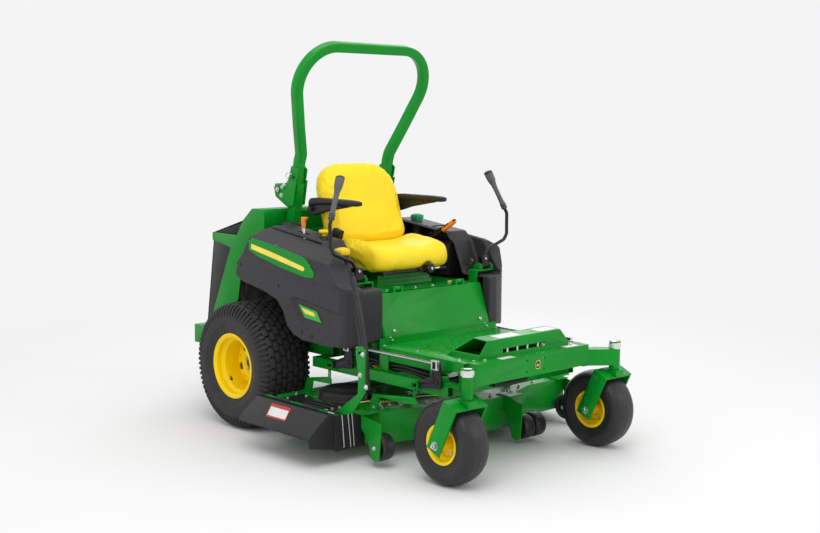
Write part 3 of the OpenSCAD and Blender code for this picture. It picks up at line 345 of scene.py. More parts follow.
class Shape:
    """Gathers solids given in millimetres from the rear axle into one mesh."""

    def __init__(self):
        self.mesh = bmesh.new()

    def loft(self, rings, closed=True, caps=True):
        rows = [[self.mesh.verts.new(p) for p in ring] for ring in rings]
        n = len(rows[0])
        for a, b in zip(rows, rows[1:]):
            for i in range(n if closed else n - 1):
                j = (i + 1) % n
                self.mesh.faces.new((a[i], a[j], b[j], b[i]))
        if caps:
            self.mesh.faces.new(list(reversed(rows[0])))
            self.mesh.faces.new(rows[-1])
        return self

    def ring_loft(self, rings):
        """A loft whose last ring joins its first, for hoops and wheels."""
        rows = [[self.mesh.verts.new(p) for p in ring] for ring in rings]
        n = len(rows[0])
        for k in range(len(rows)):
            a, b = rows[k], rows[(k + 1) % len(rows)]
            for i in range(n):
                j = (i + 1) % n
                self.mesh.faces.new((a[i], a[j], b[j], b[i]))
        return self

    def side(self, outline, x0, x1):
        return self.loft([[(x, y, z) for y, z in outline] for x in (x0, x1)])

    def front(self, outline, y0, y1):
        return self.loft([[(x, y, z) for x, z in outline] for y in (y0, y1)])

    def plan(self, outline, z0, z1):
        return self.loft([[(x, y, z) for x, y in outline] for z in (z0, z1)])

    def box(self, x0, x1, y0, y1, z0, z1):
        return self.plan([(x0, y0), (x1, y0), (x1, y1), (x0, y1)], z0, z1)

    def turned(self, profile, centre, axis="X", steps=64):
        """Turns a closed outline of (radius, along) about an axis."""
        rings = []
        for k in range(steps):
            a = 2 * math.pi * k / steps
            c, s = math.cos(a), math.sin(a)
            if axis == "X":
                ring = [(t, r * c, r * s) for r, t in profile]
            elif axis == "Y":
                ring = [(r * s, t, r * c) for r, t in profile]
            else:
                ring = [(r * c, r * s, t) for r, t in profile]
            rings.append([(x + centre[0], y + centre[1], z + centre[2]) for x, y, z in ring])
        return self.ring_loft(rings)

    def knob(self, profile, centre, axis, steps=40):
        """Turns an open outline that starts and ends on the axis."""
        axis = Vector(axis).normalized()
        u = axis.orthogonal().normalized()
        v = axis.cross(u)
        rings = []
        for r, t in profile:
            rings.append([Vector(centre) + axis * t + (u * math.cos(2 * math.pi * k / steps)
                          + v * math.sin(2 * math.pi * k / steps)) * max(r, 0.05) for k in range(steps)])
        return self.loft(rings)

    def rod(self, start, end, radius, steps=20):
        start, end = Vector(start), Vector(end)
        length = (end - start).length
        e = min(radius * 0.15, 1.0)
        return self.knob([(radius - e, 0), (radius, e), (radius, length - e), (radius - e, length)],
                         start, end - start, steps)

    def sweep(self, path, section, up=(0, 0, 1), closed=False, scales=None):
        """Carries an outline of (across, up) along a path."""
        path = [Vector(p) for p in path]
        rings = []
        n = len(path)
        last = Vector(up)
        for i, p in enumerate(path):
            a = path[i - 1] if (i or closed) else p
            b = path[(i + 1) % n] if (i < n - 1 or closed) else p
            d = (b - a).normalized()
            side = d.cross(last)
            if side.length < 1e-4:
                side = d.orthogonal()
            side.normalize()
            top = side.cross(d).normalized()
            last = top
            k = scales[i] if scales else 1.0
            rings.append([p + side * (u * k) + top * (v * k) for u, v in section])
        return self.ring_loft(rings) if closed else self.loft(rings)

    def pipe(self, path, radius, steps=14, smooth=8, up=(0, 0, 1)):
        section = [(radius * math.cos(2 * math.pi * k / steps), radius * math.sin(2 * math.pi * k / steps))
                   for k in range(steps)]
        return self.sweep(curve_through(path, smooth), section, up)

    def bolt(self, place, direction, size=8.0, washer=True, nut=False):
        """A hex head on a washer; size is the head's radius."""
        d = Vector(direction).normalized()
        p = Vector(place)
        if washer:
            self.knob([(size * 1.35, 0), (size * 1.4, 0.4), (size * 1.4, 1.6), (size * 1.3, 2.0)], p, d, 24)
            p = p + d * 2.0
        h = size * 0.72
        self.knob([(size * 0.98, 0), (size, 0.4), (size, h - 1), (size * 0.9, h)], p, d, 6)
        self.knob([(size * 0.82, h), (size * 0.8, h + 0.6), (size * 0.3, h + 0.9)], p, d, 24)
        if nut:
            self.knob([(size * 0.5, h), (size * 0.5, h + size * 0.6), (size * 0.42, h + size * 0.7)], p, d, 20)
        return self

    def mirrored(self):
        """Adds a copy on the other side of the machine."""
        new = bmesh.ops.duplicate(self.mesh,
                geom=self.mesh.verts[:] + self.mesh.edges[:] + self.mesh.faces[:])["geom"]
        for v in new:
            if isinstance(v, bmesh.types.BMVert):
                v.co.x = -v.co.x
        bmesh.ops.reverse_faces(self.mesh, faces=[f for f in new if isinstance(f, bmesh.types.BMFace)])
        return self

    def to_side(self, s):
        """Flips everything so far to the right-hand side when s is RIGHT."""
        if s == RIGHT:
            for v in self.mesh.verts:
                v.co.x = -v.co.x
        return self

    def turn(self, angle, axis, centre):
        bmesh.ops.rotate(self.mesh, verts=self.mesh.verts[:], cent=centre,
                         matrix=Matrix.Rotation(math.radians(angle), 3, axis))
        return self

    def object(self, name):
        bmesh.ops.recalc_face_normals(self.mesh, faces=self.mesh.faces[:])
        for v in self.mesh.verts:
            v.co = at(*v.co)
        data = bpy.data.meshes.new(name)
        self.mesh.to_mesh(data)
        self.mesh.free()
        obj = bpy.data.objects.new(name, data)
        bpy.context.scene.collection.objects.link(obj)
        return obj

    def piece(self, name, body, slot, finish, edge=0.0, angle=32, stands_for=(), segments=2):
        obj = self.object(name)
        if edge:
            soften(obj, edge / 1000, segments, angle)
        else:
            crease(obj, angle)
        return settle(obj, body, finish, stands_for)


def curve_through(points, steps=8):
    """A smooth path through hand-set points."""
    pts = [Vector(p) for p in points]
    if steps < 2 or len(pts) < 3:
        return pts
    ends = [pts[0] * 2 - pts[1]] + pts + [pts[-1] * 2 - pts[-2]]
    out = []
    for i in range(1, len(ends) - 2):
        a, b, c, d = ends[i - 1:i + 3]
        for k in range(steps):
            t = k / steps
            out.append(0.5 * ((2 * b) + (c - a) * t + (2 * a - 5 * b + 4 * c - d) * t * t
                              + (3 * b - a - 3 * c + d) * t * t * t))
    out.append(pts[-1])
    return out


def bent_path(points, radius, steps=6):
    """Straight runs with rounded corners, like a bent tube."""
    pts = [Vector(p) for p in points]
    out = [pts[0]]
    for a, b, c in zip(pts, pts[1:], pts[2:]):
        u, v = (a - b).normalized(), (c - b).normalized()
        reach = min(radius * math.tan((math.pi - u.angle(v)) / 2), (a - b).length * 0.48, (c - b).length * 0.48)
        p, q = b + u * reach, b + v * reach
        for k in range(steps + 1):
            t = k / steps
            out.append((1 - t) ** 2 * p + 2 * t * (1 - t) * b + t * t * q)
    out.append(pts[-1])
    return out


def rounded_square(width, height, radius, steps=4):
    out = []
    for cx, cy, a0 in ((1, 1, 0), (-1, 1, 90), (-1, -1, 180), (1, -1, 270)):
        for k in range(steps + 1):
            a = math.radians(a0 + 90 * k / steps)
            out.append((cx * (width / 2 - radius) + radius * math.cos(a),
                    cy * (height / 2 - radius) + radius * math.sin(a)))
    return out


def squared_oval(centre, across, up, width, height, power, steps):
    """A ring between an ellipse, at power 1, and a rectangle, at power 0."""
    ring = []
    for k in range(steps):
        a = 2 * math.pi * k / steps
        c, d = math.cos(a), math.sin(a)
        u = width * abs(c) ** power * (1 if c > 0 else -1)
        v = height * abs(d) ** power * (1 if d > 0 else -1)
        ring.append(Vector(centre) + Vector(across) * u + Vector(up) * v)
    return ring


def crease(obj, angle=32):
    """Smooth faces, with the edges over that angle kept sharp."""
    bm = bmesh.new()
    bm.from_mesh(obj.data)
    for face in bm.faces:
        face.smooth = True
    for edge in bm.edges:
        edge.smooth = edge.is_boundary or edge.calc_face_angle(0.0) < math.radians(angle)
    bm.to_mesh(obj.data)
    bm.free()


def soften(obj, width, segments=2, angle=32):
    for face in obj.data.polygons:
        face.use_smooth = True
    m = obj.modifiers.new("edge", "BEVEL")
    m.width = width
    m.segments = segments
    m.limit_method = "ANGLE"
    m.angle_limit = math.radians(angle)
    m.harden_normals = True
    m.use_clamp_overlap = True


def settle(obj, body, finish, stands_for=()):
    """Gives a piece its material, body and slot."""
    material = finishes()[finish] if isinstance(finish, str) else finish
    obj.data.materials.clear()
    obj.data.materials.append(material)
    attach(obj, body)
    if stands_for:
        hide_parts(*stands_for)
    return obj


def baked(obj):
    """Applies the modifiers for good."""
    graph = bpy.context.evaluated_depsgraph_get()
    data = bpy.data.meshes.new_from_object(obj.evaluated_get(graph))
    obj.modifiers.clear()
    old = obj.data
    obj.data = data
    bpy.data.meshes.remove(old)
    return obj


def melt(obj, voxel, passes=6, factor=0.6):
    """Joins overlapping solids into one moulded skin with soft edges."""
    m = obj.modifiers.new("skin", "REMESH")
    m.mode = "VOXEL"
    m.voxel_size = voxel
    m.use_smooth_shade = True
    s = obj.modifiers.new("ease", "SMOOTH")
    s.iterations = passes
    s.factor = factor
    baked(obj)
    for face in obj.data.polygons:
        face.use_smooth = True
    return obj


def operator(label, doc):
    """Makes an Operator class of a build function."""

    def wrap(build):
        def execute(self, context):
            build()
            return {"FINISHED"}

        cls = type("MOWER_OT_" + build.__name__, (bpy.types.Operator,), {
            "bl_idname": "mower." + build.__name__,
            "bl_label": label,
            "bl_options": {"REGISTER", "UNDO"},
            "__doc__": doc,
            "execute": execute,
        })
        OPERATORS.append(cls)
        return build

    return wrap


OPERATORS = []


# ---------------------------------------------------------------- carried-over frame parts


CARRIED = {
    "green_paint": ("main_frame", "front_beam", "floor_plate", "kick_panel", "rops_posts", "rear_guard",
                    "seat_platform", "caster_fork_right", "caster_fork_left", "deck_shell", "deck_brackets"),
    "black_paint": ("rear_screens", "lever_yoke_right", "lever_yoke_left", "lift_crank_front",
                    "lift_crank_rear", "chute_lever", "brake_lever"),
    "black_plastic": ("radiator_fan", "fuel_tank", "belt_covers", "seat_pan"),
    "deck_plastic": ("chute_deflector",),
    "iron": ("engine", "hydraulic_drives", "spindle_housings"),
    "alloy": ("radiator",),
    "zinc": ("fasteners", "lift_rod"),
    "belt": ("drive_belt",),
    "blade": ("blade_right", "blade_centre", "blade_left"),
}
ROUNDED = {"main_frame": 1.6, "seat_pan": 1.5, "radiator": 1.2, "drive_belt": 0.6, "engine": 2.5,
           "caster_fork_right": 1.8, "caster_fork_left": 1.8, "front_beam": 2.2}


def dress(node, finish):
    """A carried-over part: joined corners, eased edges and its real finish."""
    obj = frame["nodes"][node]
    obj.data.materials.clear()
    obj.data.materials.append(finishes()[finish])
    weld = obj.modifiers.new("weld", "WELD")
    weld.merge_threshold = 0.00002
    flat = obj.modifiers.new("flat", "DECIMATE")
    flat.decimate_type = "DISSOLVE"
    flat.angle_limit = math.radians(0.6)
    width = ROUNDED.get(node)
    soften(obj, width / 1000 if width else bpy.context.scene.mower_sizes.paint_round)


@operator("Frame parts", "Finishes the parts of the frame that keep their own shape")
def frame_parts():
    for finish, nodes in CARRIED.items():
        for node in nodes:
            dress(node, finish)


# ---------------------------------------------------------------- wheels


AXLE = 330.0
TYRE_CROWN = ((0, 330), (40, 330), (80, 329.5), (105, 326), (118, 321), (125, 318), (134, 311), (140, 305),
              (146, 293), (149, 284), (151, 272), (152, 262))


def crown(a):
    """Radius of the drive tyre's outer surface at a distance from its middle."""
    a = abs(a)
    for (a0, r0), (a1, r1) in zip(TYRE_CROWN, TYRE_CROWN[1:]):
        if a <= a1:
            return r0 + (r1 - r0) * (a - a0) / (a1 - a0)
    return TYRE_CROWN[-1][1]


BLOCK = [(-25, -8), (-19, -15), (13, -15), (20, -11), (25, -3), (25, 8), (19, 15), (-13, 15), (-20, 11), (-25,
        3)]
ROWS = (-104, -70, -35, 0, 35, 70, 104)


def tread_block(shape, turn, across, middle, depth, mirror):
    """One lug of the staggered rows, wrapped on the tyre."""
    rings = []
    for sink, size in ((depth + 2, 1.04), (2.0, 0.97), (0.6, 0.93), (0.0, 0.86)):
        ring = []
        for s, a in BLOCK:
            a = across + a * mirror * size
            s = s * size
            r = crown(a) - sink
            t = turn + s / AXLE
            ring.append((middle + a, r * math.sin(t), AXLE + r * math.cos(t)))
        rings.append(ring)
    shape.loft(rings)


def shoulder_lug(shape, turn, side, middle):
    """One long bar that runs over the shoulder and down the sidewall."""
    run = ((321.5, 114), (320.5, 121), (316, 129.5), (307, 138), (296, 144), (284, 148.5), (273, 151), (266,
            151.6))
    rings = []
    for i, (r, a) in enumerate(run):
        k = i / (len(run) - 1)
        t = turn + (0.012 * k * k - 0.02 * k) * 1.8
        half = 9.3 - 2.4 * k
        out = (0.35, 0.95) if a < 132 else (0.9, 0.45)
        deep = 9.0 if i < len(run) - 1 else 3.0
        ring = []
        for w, sink in ((-1.08, deep), (-0.8, 0.0), (0.8, 0.0), (1.08, deep)):
            rr = r - out[1] * sink
            aa = a - out[0] * sink
            ang = t + w * half / AXLE
            ring.append((middle + side * aa, rr * math.sin(ang), AXLE + rr * math.cos(ang)))
        rings.append(ring)
    shape.loft(rings)


def drive_tyre(s, name):
    sizes = bpy.context.scene.mower_sizes
    depth = sizes.tread_depth * 1000
    n = sizes.tread_pitches
    middle = s * 522.5
    half = [(153, 110), (153, 126), (160, 130.5), (168, 130), (174, 133), (176, 135.5), (180, 136), (183, 136),
            (190, 139), (205, 144.5), (214, 147), (216, 148.8), (219, 149.2), (222, 149), (236, 150.6), (250,
            151),
            (266, 149), (279, 144.5), (291, 139), (301, 132), (307, 124), (311, 113), (315, 95), (317.5, 60),
            (318.5, 25)]
    outline = half + [(r, -a) for r, a in reversed(half)]
    carcass = Shape().turned(outline, (middle, 0, AXLE), "X", 128)
    carcass.piece(name + "_carcass", BODY_WHEEL[s], "tyre_rubber", "tyre", angle=40, stands_for=[name])
    tread = Shape()
    for i, row in enumerate(ROWS):
        for k in range(n):
            turn = 2 * math.pi * (k + (0.5 if i % 2 else 0.0)) / n
            tread_block(tread, turn, row, middle, depth, 1 if i % 2 else -1)
    for side in (-1, 1):
        for k in range(2 * n):
            shoulder_lug(tread, 2 * math.pi * (k + 0.25) / (2 * n), side, middle)
    tread.piece(name + "_tread", BODY_WHEEL[s], "tyre_rubber", "tyre", angle=30)


BODY_WHEEL = {LEFT: "drive_wheel_left", RIGHT: "drive_wheel_right"}


@operator("Drive tyres", "Builds the two rear tyres with staggered lugs and shoulder bars")
def drive_tyres():
    drive_tyre(LEFT, "drive_tyre_left")
    drive_tyre(RIGHT, "drive_tyre_right")


def cut(obj, cutter):
    """Takes the cutter out of obj for good."""
    m = obj.modifiers.new("cut", "BOOLEAN")
    m.operation = "DIFFERENCE"
    m.solver = "EXACT"
    m.object = cutter
    baked(obj)
    data = cutter.data
    bpy.data.objects.remove(cutter)
    bpy.data.meshes.remove(data)
    return obj


def drive_rim(s, name):
    mid, body = s * 522.5, BODY_WHEEL[s]
    lip = [(168, 135.5), (171, 134), (171.5, 130), (166, 128.5), (158, 129), (153, 127), (151.5, 119), (151,
            104),
           (145, 97), (136, 90), (134, 60)]
    inner = [(130, 60), (131.5, 86), (141, 94), (146.5, 102), (147.5, 120), (149, 127), (154, 130), (160,
            135.5),
             (164, 136.5)]
    barrel = Shape().turned([(r, s * a) for r, a in lip] + [(r, -s * a) for r, a in reversed(lip)]
                            + [(r, -s * a) for r, a in reversed(inner)] + [(r, s * a) for r, a in inner],
                            (mid, 0, AXLE), "X", 112)
    barrel.piece(name + "_barrel", body, "yellow_paint", "rim_paint", angle=26, stands_for=[name])
    dish = [(22, 4), (56, 4), (62, 6), (70, 12), (78, 14.5), (108, 15), (116, 12.5), (124, 6), (131, 5), (131,
            -1),
            (122, 0), (113, 6), (106, 9), (80, 8.5), (72, 6), (64, 0), (56, -3), (22, -3)]
    disc = Shape().turned([(r, s * a) for r, a in dish], (mid, 0, AXLE), "X", 112).object(name + "_disc")
    holes = Shape()
    for k in range(5):
        turn = 72 * k + 36
        one = [(-15, -21), (13, -13), (15, -10), (15, 10), (13, 13), (-15, 21)]
        rings = []
        for x in (mid - 30, mid + 30):
            ring = []
            for up, across in one:
                a = math.radians(turn)
                y = across * math.cos(a) + (94 + up) * math.sin(a)
                z = (94 + up) * math.cos(a) - across * math.sin(a)
                ring.append((x, y, AXLE + z))
            rings.append(ring)
        holes.loft(rings)
        a = math.radians(turn + 36)
        holes.knob([(4.5, 0), (4.5, 60)], (mid - 30, 96 * math.sin(a), AXLE + 96 * math.cos(a)), (1, 0, 0), 20)
    cut(disc, holes.object("holes"))
    soften(disc, 0.0012, 2, 30)
    settle(disc, body, "rim_paint")
    hub = Shape()
    hub.knob([(60, -16), (62, -14), (62, -4), (40, -3), (30, 4), (28, 12), (26, 22), (22, 25), (14, 26), (1,
            26.5)],
             (mid, 0, AXLE), (s, 0, 0), 48)
    hub.knob([(25, 0), (25, 150)], (mid - s * 160, 0, AXLE), (s, 0, 0), 32)
    hub.piece(name + "_hub", body, "cast_grey", "iron", angle=30)
    nuts = Shape()
    for k in range(5):
        a = math.radians(72 * k)
        nuts.bolt((mid + s * 4, 44 * math.sin(a), AXLE + 44 * math.cos(a)), (s, 0, 0), 10.0, nut=True)
    nuts.piece(name + "_nuts", body, "zinc_steel", "zinc", edge=0.5)
    valve = Shape()
    start = Vector((mid + s * 74, 92, AXLE - 92))
    valve.knob([(7, 0), (6.5, 4), (4, 7), (3.6, 22), (4.4, 24), (4.4, 33), (3, 35)], start, (s * 0.55, -0.6,
            0.6), 20)
    valve.piece(name + "_valve", body, "black_plastic", "hose", angle=30)


@operator("Drive rims", "Builds the rear rims with their vent openings, hubs and nuts")
def drive_rims():
    drive_rim(LEFT, "drive_rim_left")
    drive_rim(RIGHT, "drive_rim_right")


CASTER_Y, CASTER_Z = -1474.0, 190.0


def caster(s, side):
    mid = s * 515.0
    wheel, fork = "caster_wheel_" + side, "fork_" + side
    half = [(80, 42), (80, 56), (86, 60), (92, 61), (95, 63.5), (99, 64.5), (108, 68), (118, 71.5), (130, 74.5),
            (136, 75.8), (138, 76.4), (142, 76.6), (146, 76), (157, 74), (166, 70), (174, 63.5), (180, 55),
            (184.5, 45),
            (187.5, 32), (189.2, 18), (189.6, 3), (190, 1.5)]
    tyre = Shape().turned(half + [(r, -a) for r, a in reversed(half)], (mid, CASTER_Y, CASTER_Z), "X", 128)
    tyre.piece("caster_tyre_%s_skin" % side, wheel, "tyre_rubber", "caster_tyre", angle=50,
               stands_for=["caster_tyre_" + side])
    face = [(92, 62.5), (94.5, 60), (94, 57.5), (89, 56.5), (84, 56), (81, 53), (80, 44), (68, 30), (66, 12),
            (66, 0)]
    inner = [(60, 0), (60, 10), (46, 9), (40, 5), (30, 4), (28, 10), (28, 79), (10, 79), (10, 0)]
    back = [(62, 14), (63, 27), (75, 41), (76, 52), (80, 59.5), (86, 61.5)]
    closed = ([(r, a) for r, a in face] + [(r, -a) for r, a in reversed(face[:-1])]
              + [(r, -a) for r, a in reversed(back)] + [(r, -a) for r, a in inner[1:]]
              + [(r, a) for r, a in reversed(inner[1:])] + [(r, a) for r, a in back])
    rim = Shape().turned(closed, (mid, CASTER_Y, CASTER_Z), "X", 96)
    rim.piece("caster_rim_%s_dish" % side, wheel, "yellow_paint", "rim_paint", angle=28,
              stands_for=["caster_rim_" + side])
    seam = Shape()
    for way in (-1, 1):
        for k in range(6):
            a = math.radians(60 * k + 20)
            seam.bolt((mid + way * 8.5, CASTER_Y + 52 * math.sin(a), CASTER_Z + 52 * math.cos(a)), (way, 0, 0),
                    6.0)
    seam.piece("caster_rim_%s_bolts" % side, wheel, "zinc_steel", "zinc", edge=0.4)
    axle = Shape()
    for way in (-1, 1):
        axle.bolt((mid + way * 100, CASTER_Y, CASTER_Z), (way, 0, 0), 14.0, nut=way == s)
    axle.piece("caster_axle_%s" % side, fork, "zinc_steel", "zinc", edge=0.6)
    cap = Shape()
    cap.knob([(27.2, -26), (28.4, -24), (28.6, -2), (28, 3), (25, 8), (19, 10.5), (8, 11.5), (0.5, 11.8)],
             (mid, -1572, 528), (0, 0, 1), 56)
    for k in range(28):
        a = 2 * math.pi * k / 28
        cap.knob([(1.6, -22), (1.8, -20), (1.8, -3), (1.0, -1)],
                 (mid + 28 * math.cos(a), -1572 + 28 * math.sin(a), 528), (0, 0, 1), 8)
    cap.piece("pivot_cap_%s" % side, "chassis", "zinc_steel", "chrome", angle=40)


@operator("Casters", "Builds the smooth front tyres, dished rims, axle bolts and pivot caps")
def casters():
    caster(LEFT, "left")
    caster(RIGHT, "right")


# ---------------------------------------------------------------- roll bar


def lean(z):
    return 27 - (z - 462) * math.tan(math.radians(9.5))


@operator("Roll bar", "Builds the bent hoop, its fold plates, bolts and lock pins")
def roll_bar():
    foot_y, foot_z = lean(1387), 1387
    tilt = math.radians(20)
    up = Vector((0, -math.sin(tilt), math.cos(tilt)))
    base = Vector((0, foot_y, foot_z))
    centre = Vector((228, 0))
    arc = []
    for k in range(17):
        a = math.radians(-16.4 + 106.4 * k / 16)
        arc.append(base + Vector((centre.x + 200 * math.cos(a), 0, 0)) + up * (424 + 200 * math.sin(a)))
    knee = base + Vector((308, 0, 0))
    shin = knee + up * 30
    stub = Vector((308, lean(1276), 1276))
    half = bent_path([stub, knee, knee + up * 42, shin + (arc[0] - shin) * 0.5, arc[0]], 60, 5) + arc[1:]
    other = [Vector((-p.x, p.y, p.z)) for p in reversed(half)]
    path = half + other
    section = rounded_square(50, 50, 8, 4)
    normal = Vector((0, math.cos(tilt), math.sin(tilt)))
    hoop = Shape()
    rings = []
    for i, p in enumerate(path):
        a = path[max(i - 1, 0)]
        b = path[min(i + 1, len(path) - 1)]
        d = (b - a).normalized()
        n = (normal - d * normal.dot(d)).normalized()
        side = d.cross(n)
        rings.append([p + side * u + n * v for u, v in section])
    hoop.loft(rings)
    hoop.piece("hoop_tube", "hoop", "green_paint", "green_paint", angle=40, stands_for=["rops_hoop"])
    plates = Shape()
    outline = [(-146, 1294), (-158, 1346), (-142, 1360), (-98, 1364), (-66, 1280), (-12, 1262), (16, 1258),
               (22, 1240), (14, 1219), (-16, 1216), (-60, 1250), (-120, 1282)]
    for x in (276.5, 333.5):
        plates.side(outline, x, x + 6)
    plates.box(276.5, 339.5, -131, -106, 1299, 1311)
    plates.mirrored()
    plates.piece("hoop_plates", "hoop", "green_paint", "green_paint", edge=1.6)
    pins = Shape()
    pins.rod((262, -114, 1322), (354, -114, 1322), 6)
    pins.rod((262, -114, 1322), (268, -114, 1322), 10)
    pins.pipe([(358, -114, 1322), (358, -104, 1308), (358, -88, 1300), (358, -76, 1308), (358, -80, 1322),
               (358, -98, 1330), (358, -114, 1322)], 2.2, 8, 6, (1, 0, 0))
    pins.bolt((354, -40, 1252), (1, 0, 0), 8)
    pins.mirrored()
    pins.piece("hoop_lock_pins", "hoop", "zinc_steel", "zinc", angle=30)
    bolts = Shape()
    for y, z in ((0, 1237), (-24, 1208), (-48, 1262)):
        bolts.bolt((347.5 if y != 0 else 355.5, y, z), (1, 0, 0), 9)
        bolts.bolt((268.5 if y != 0 else 260.5, y, z), (-1, 0, 0), 9, nut=True)
    bolts.mirrored()
    bolts.piece("post_bolts", "chassis", "zinc_steel", "zinc", edge=0.5)


# ---------------------------------------------------------------- fenders


OUTER = [(33, 801), (24, 871), (-35, 920), (-118, 1050), (-672, 975), (-694, 964), (-800, 829), (-846, 813),
         (-860, 800), (-856, 532), (-742, 525), (-533, 528), (-455, 550), (-402, 587), (-368, 659), (-323, 706),
         (-226, 737), (-26, 772)]
CONSOLE = [(33, 801), (24, 871), (-35, 920), (-118, 1050), (-150, 1064), (-555, 1014), (-598, 962), (-667, 804),
           (-700, 800), (-850, 800), (-860, 790), (-856, 540), (-742, 532), (-533, 532), (-455, 552), (-402,
           590),
           (-368, 660), (-323, 708), (-226, 739), (-26, 774)]


ARCH = [(10, 812), (0, 858), (-62, 898), (-128, 978), (-590, 914), (-616, 900), (-616, 545), (-533, 540),
        (-462, 562),
        (-412, 597), (-379, 665), (-330, 716), (-226, 748), (-26, 783)]


def inset(outline, d):
    out = []
    n = len(outline)
    for i in range(n):
        a, b, c = (Vector(outline[i - 1]), Vector(outline[i]), Vector(outline[(i + 1) % n]))
        u, v = (b - a).normalized(), (c - b).normalized()
        nu, nv = Vector((-u.y, u.x)), Vector((-v.y, v.x))
        m = (nu + nv) / (1 + nu.dot(nv))
        out.append(tuple(b + m * d))
    return out


def fender(s, side):
    """A moulded fender and console, melted from its masses, then cut for its openings."""
    body = Shape()
    body.side(OUTER, 498, 612)
    body.side(CONSOLE, 370, 502)
    body.knob([(64, -40), (64, 16), (62, 20), (54, 22), (0.5, 22)], (323, -85, 1048), (0, 0, 1), 48)
    body.side([(-100, 990), (-140, 1062), (-548, 1010), (-582, 966), (-560, 930)], 352, 372)
    bmesh.ops.recalc_face_normals(body.mesh, faces=body.mesh.faces[:])
    obj = body.to_side(s).object("fender_" + side + "_moulding")
    melt(obj, 0.005, 0, 0.5)
    shoulder = Shape()
    shoulder.loft([[(524, y, top), (700, y, top + 120), (700, y, top - 98)] for y, top in ((70, 1075), (-900,
            945.5))])
    corner = Shape()
    if s == LEFT:
        corner.plan([(650, -630), (614, -630), (608, -680), (588, -728), (545, -785), (490, -828), (430, -856),
                     (392, -866), (392, -920), (650, -920)], 480, 1100)
    else:
        corner.plan([(650, -770), (613.5, -770), (607, -810), (590, -838), (560, -856), (520, -866), (520,
                -920),
                     (650, -920)], 480, 1100)
    waist = Shape()
    waist.side([(60, 900), (-41, 900), (-223, 884), (-434, 842), (-635, 822), (-870, 806), (-870, 500), (60,
            500)], 605, 640)
    recess = Shape()
    recess.side([(-880, 692), (-788, 694), (-654, 716), (-494, 736), (-432, 738), (-470, 668), (-506, 624),
            (-574, 600),
                 (-880, 590)], 596, 640)
    for cutter in (shoulder, corner, waist, recess):
        cutter.to_side(s)
        bmesh.ops.recalc_face_normals(cutter.mesh, faces=cutter.mesh.faces[:])
        cut(obj, cutter.object("cutter"))
    melt(obj, 0.0056, 3, 0.55)
    hollow = [Shape().side(ARCH, 504, 588), Shape().side([(max(y, -812), z) for y, z in inset(CONSOLE, 10)],
            340, 505),
              Shape().box(281, 335, -112, -36, 1020, 1100)]
    if s == LEFT:
        hollow.append(Shape().knob([(31, -100), (31, 100)], (430, -241, 1040), (0, 0, 1), 32))
    else:
        hollow.append(Shape().box(448, 472, -398, -312, 990, 1090))
        hollow.append(Shape().knob([(11, -90), (11, 60)], (430, -480, 1040), (0, 0, 1), 24))
    for cutter in hollow:
        cutter.to_side(s)
        bmesh.ops.recalc_face_normals(cutter.mesh, faces=cutter.mesh.faces[:])
        cut(obj, cutter.object("cutter"))
    crease(obj, 45)
    settle(obj, "chassis", "shell", ["fender_" + side])
    return obj


@operator("Fenders", "Builds the moulded fenders with their consoles and wheel arches")
def fenders():
    fender(LEFT, "left")
    fender(RIGHT, "right")


def hugging(outline, x, thick, s, name, body, slot, finish, edge=0.6):
    """A thin flat decal or plate set on the fender's side."""
    shape = Shape().side(outline, x, x + thick).to_side(s)
    return shape.piece(name, body, slot, finish, edge=edge)


# Builds the side plates, stripes, badges and screws on the fender sides
@operator("Fender trim", "Builds the side plates, stripes, badges and the console fittings")
def fender_trim():
    for s, side in ((LEFT, "left"), (RIGHT, "right")):
        plate = [(-116, 1000), (-128, 1006), (-289, 985), (-520, 948), (-566, 936), (-632, 872), (-622, 848),
                (-560, 846),
                 (-372, 874), (-180, 915), (-98, 944), (-102, 974)]
        hugging(plate, 611.5, 4.0, s, "side_plate_" + side, "chassis", "green_paint", "green_paint", 1.4)
        stripe = [(-122, 976), (-292, 948), (-548, 897), (-560, 886), (-548, 874), (-334, 912), (-122, 950)]
        hugging(stripe, 615.7, 0.7, s, "side_stripe_" + side, "chassis", "yellow_plastic", "stripe", 0.2)
        badge = [(-492, 706), (-632, 684), (-668, 634), (-540, 645)]
        hugging(badge, 597.0, 3.4, s, "badge_plate_" + side, "chassis", "green_paint", "badge", 0.5)
        mark = [(-515, 692), (-610, 677), (-624, 659), (-545, 665)]
        hugging(mark, 600.6, 0.6, s, "badge_mark_" + side, "chassis", "yellow_plastic", "stripe", 0.1)
        knobs = Shape()
        for y, z in ((-106, 985), (-330, 980), (-600, 866), (-596, 905)):
            knobs.knob([(8, -2), (8, 4.4), (6, 6), (0.5, 6.4)], (611, y, z), (1, 0, 0), 24)
        knobs.to_side(s)
        knobs.piece("side_plate_screws_" + side, "chassis", "green_paint", "green_paint", angle=40)
        screws = Shape()
        for y, z in ((-10, 860), (-330, 780), (-520, 570), (-600, 560)):
            screws.knob([(9, -3), (9.5, 1), (9, 2.2), (6, 3.2), (0.5, 3.6)], (605.0, y, z), (1, 0, 0), 24)
        screws.to_side(s)
        screws.piece("fender_screws_" + side, "chassis", "black_plastic", "black_plastic", angle=40)


# ---------------------------------------------------------------- seat


def smooth_ring(points, steps=6):
    """A closed smooth curve through the points."""
    out = []
    n = len(points)
    for i in range(n):
        p = [Vector(points[(i + k - 1) % n]) for k in range(4)]
        for j in range(steps):
            t = j / steps
            out.append(0.5 * (2 * p[1] + (p[2] - p[0]) * t + (2 * p[0] - 5 * p[1] + 4 * p[2] - p[3]) * t * t
                              + (3 * p[1] - p[0] - 3 * p[2] + p[3]) * t ** 3))
    return out


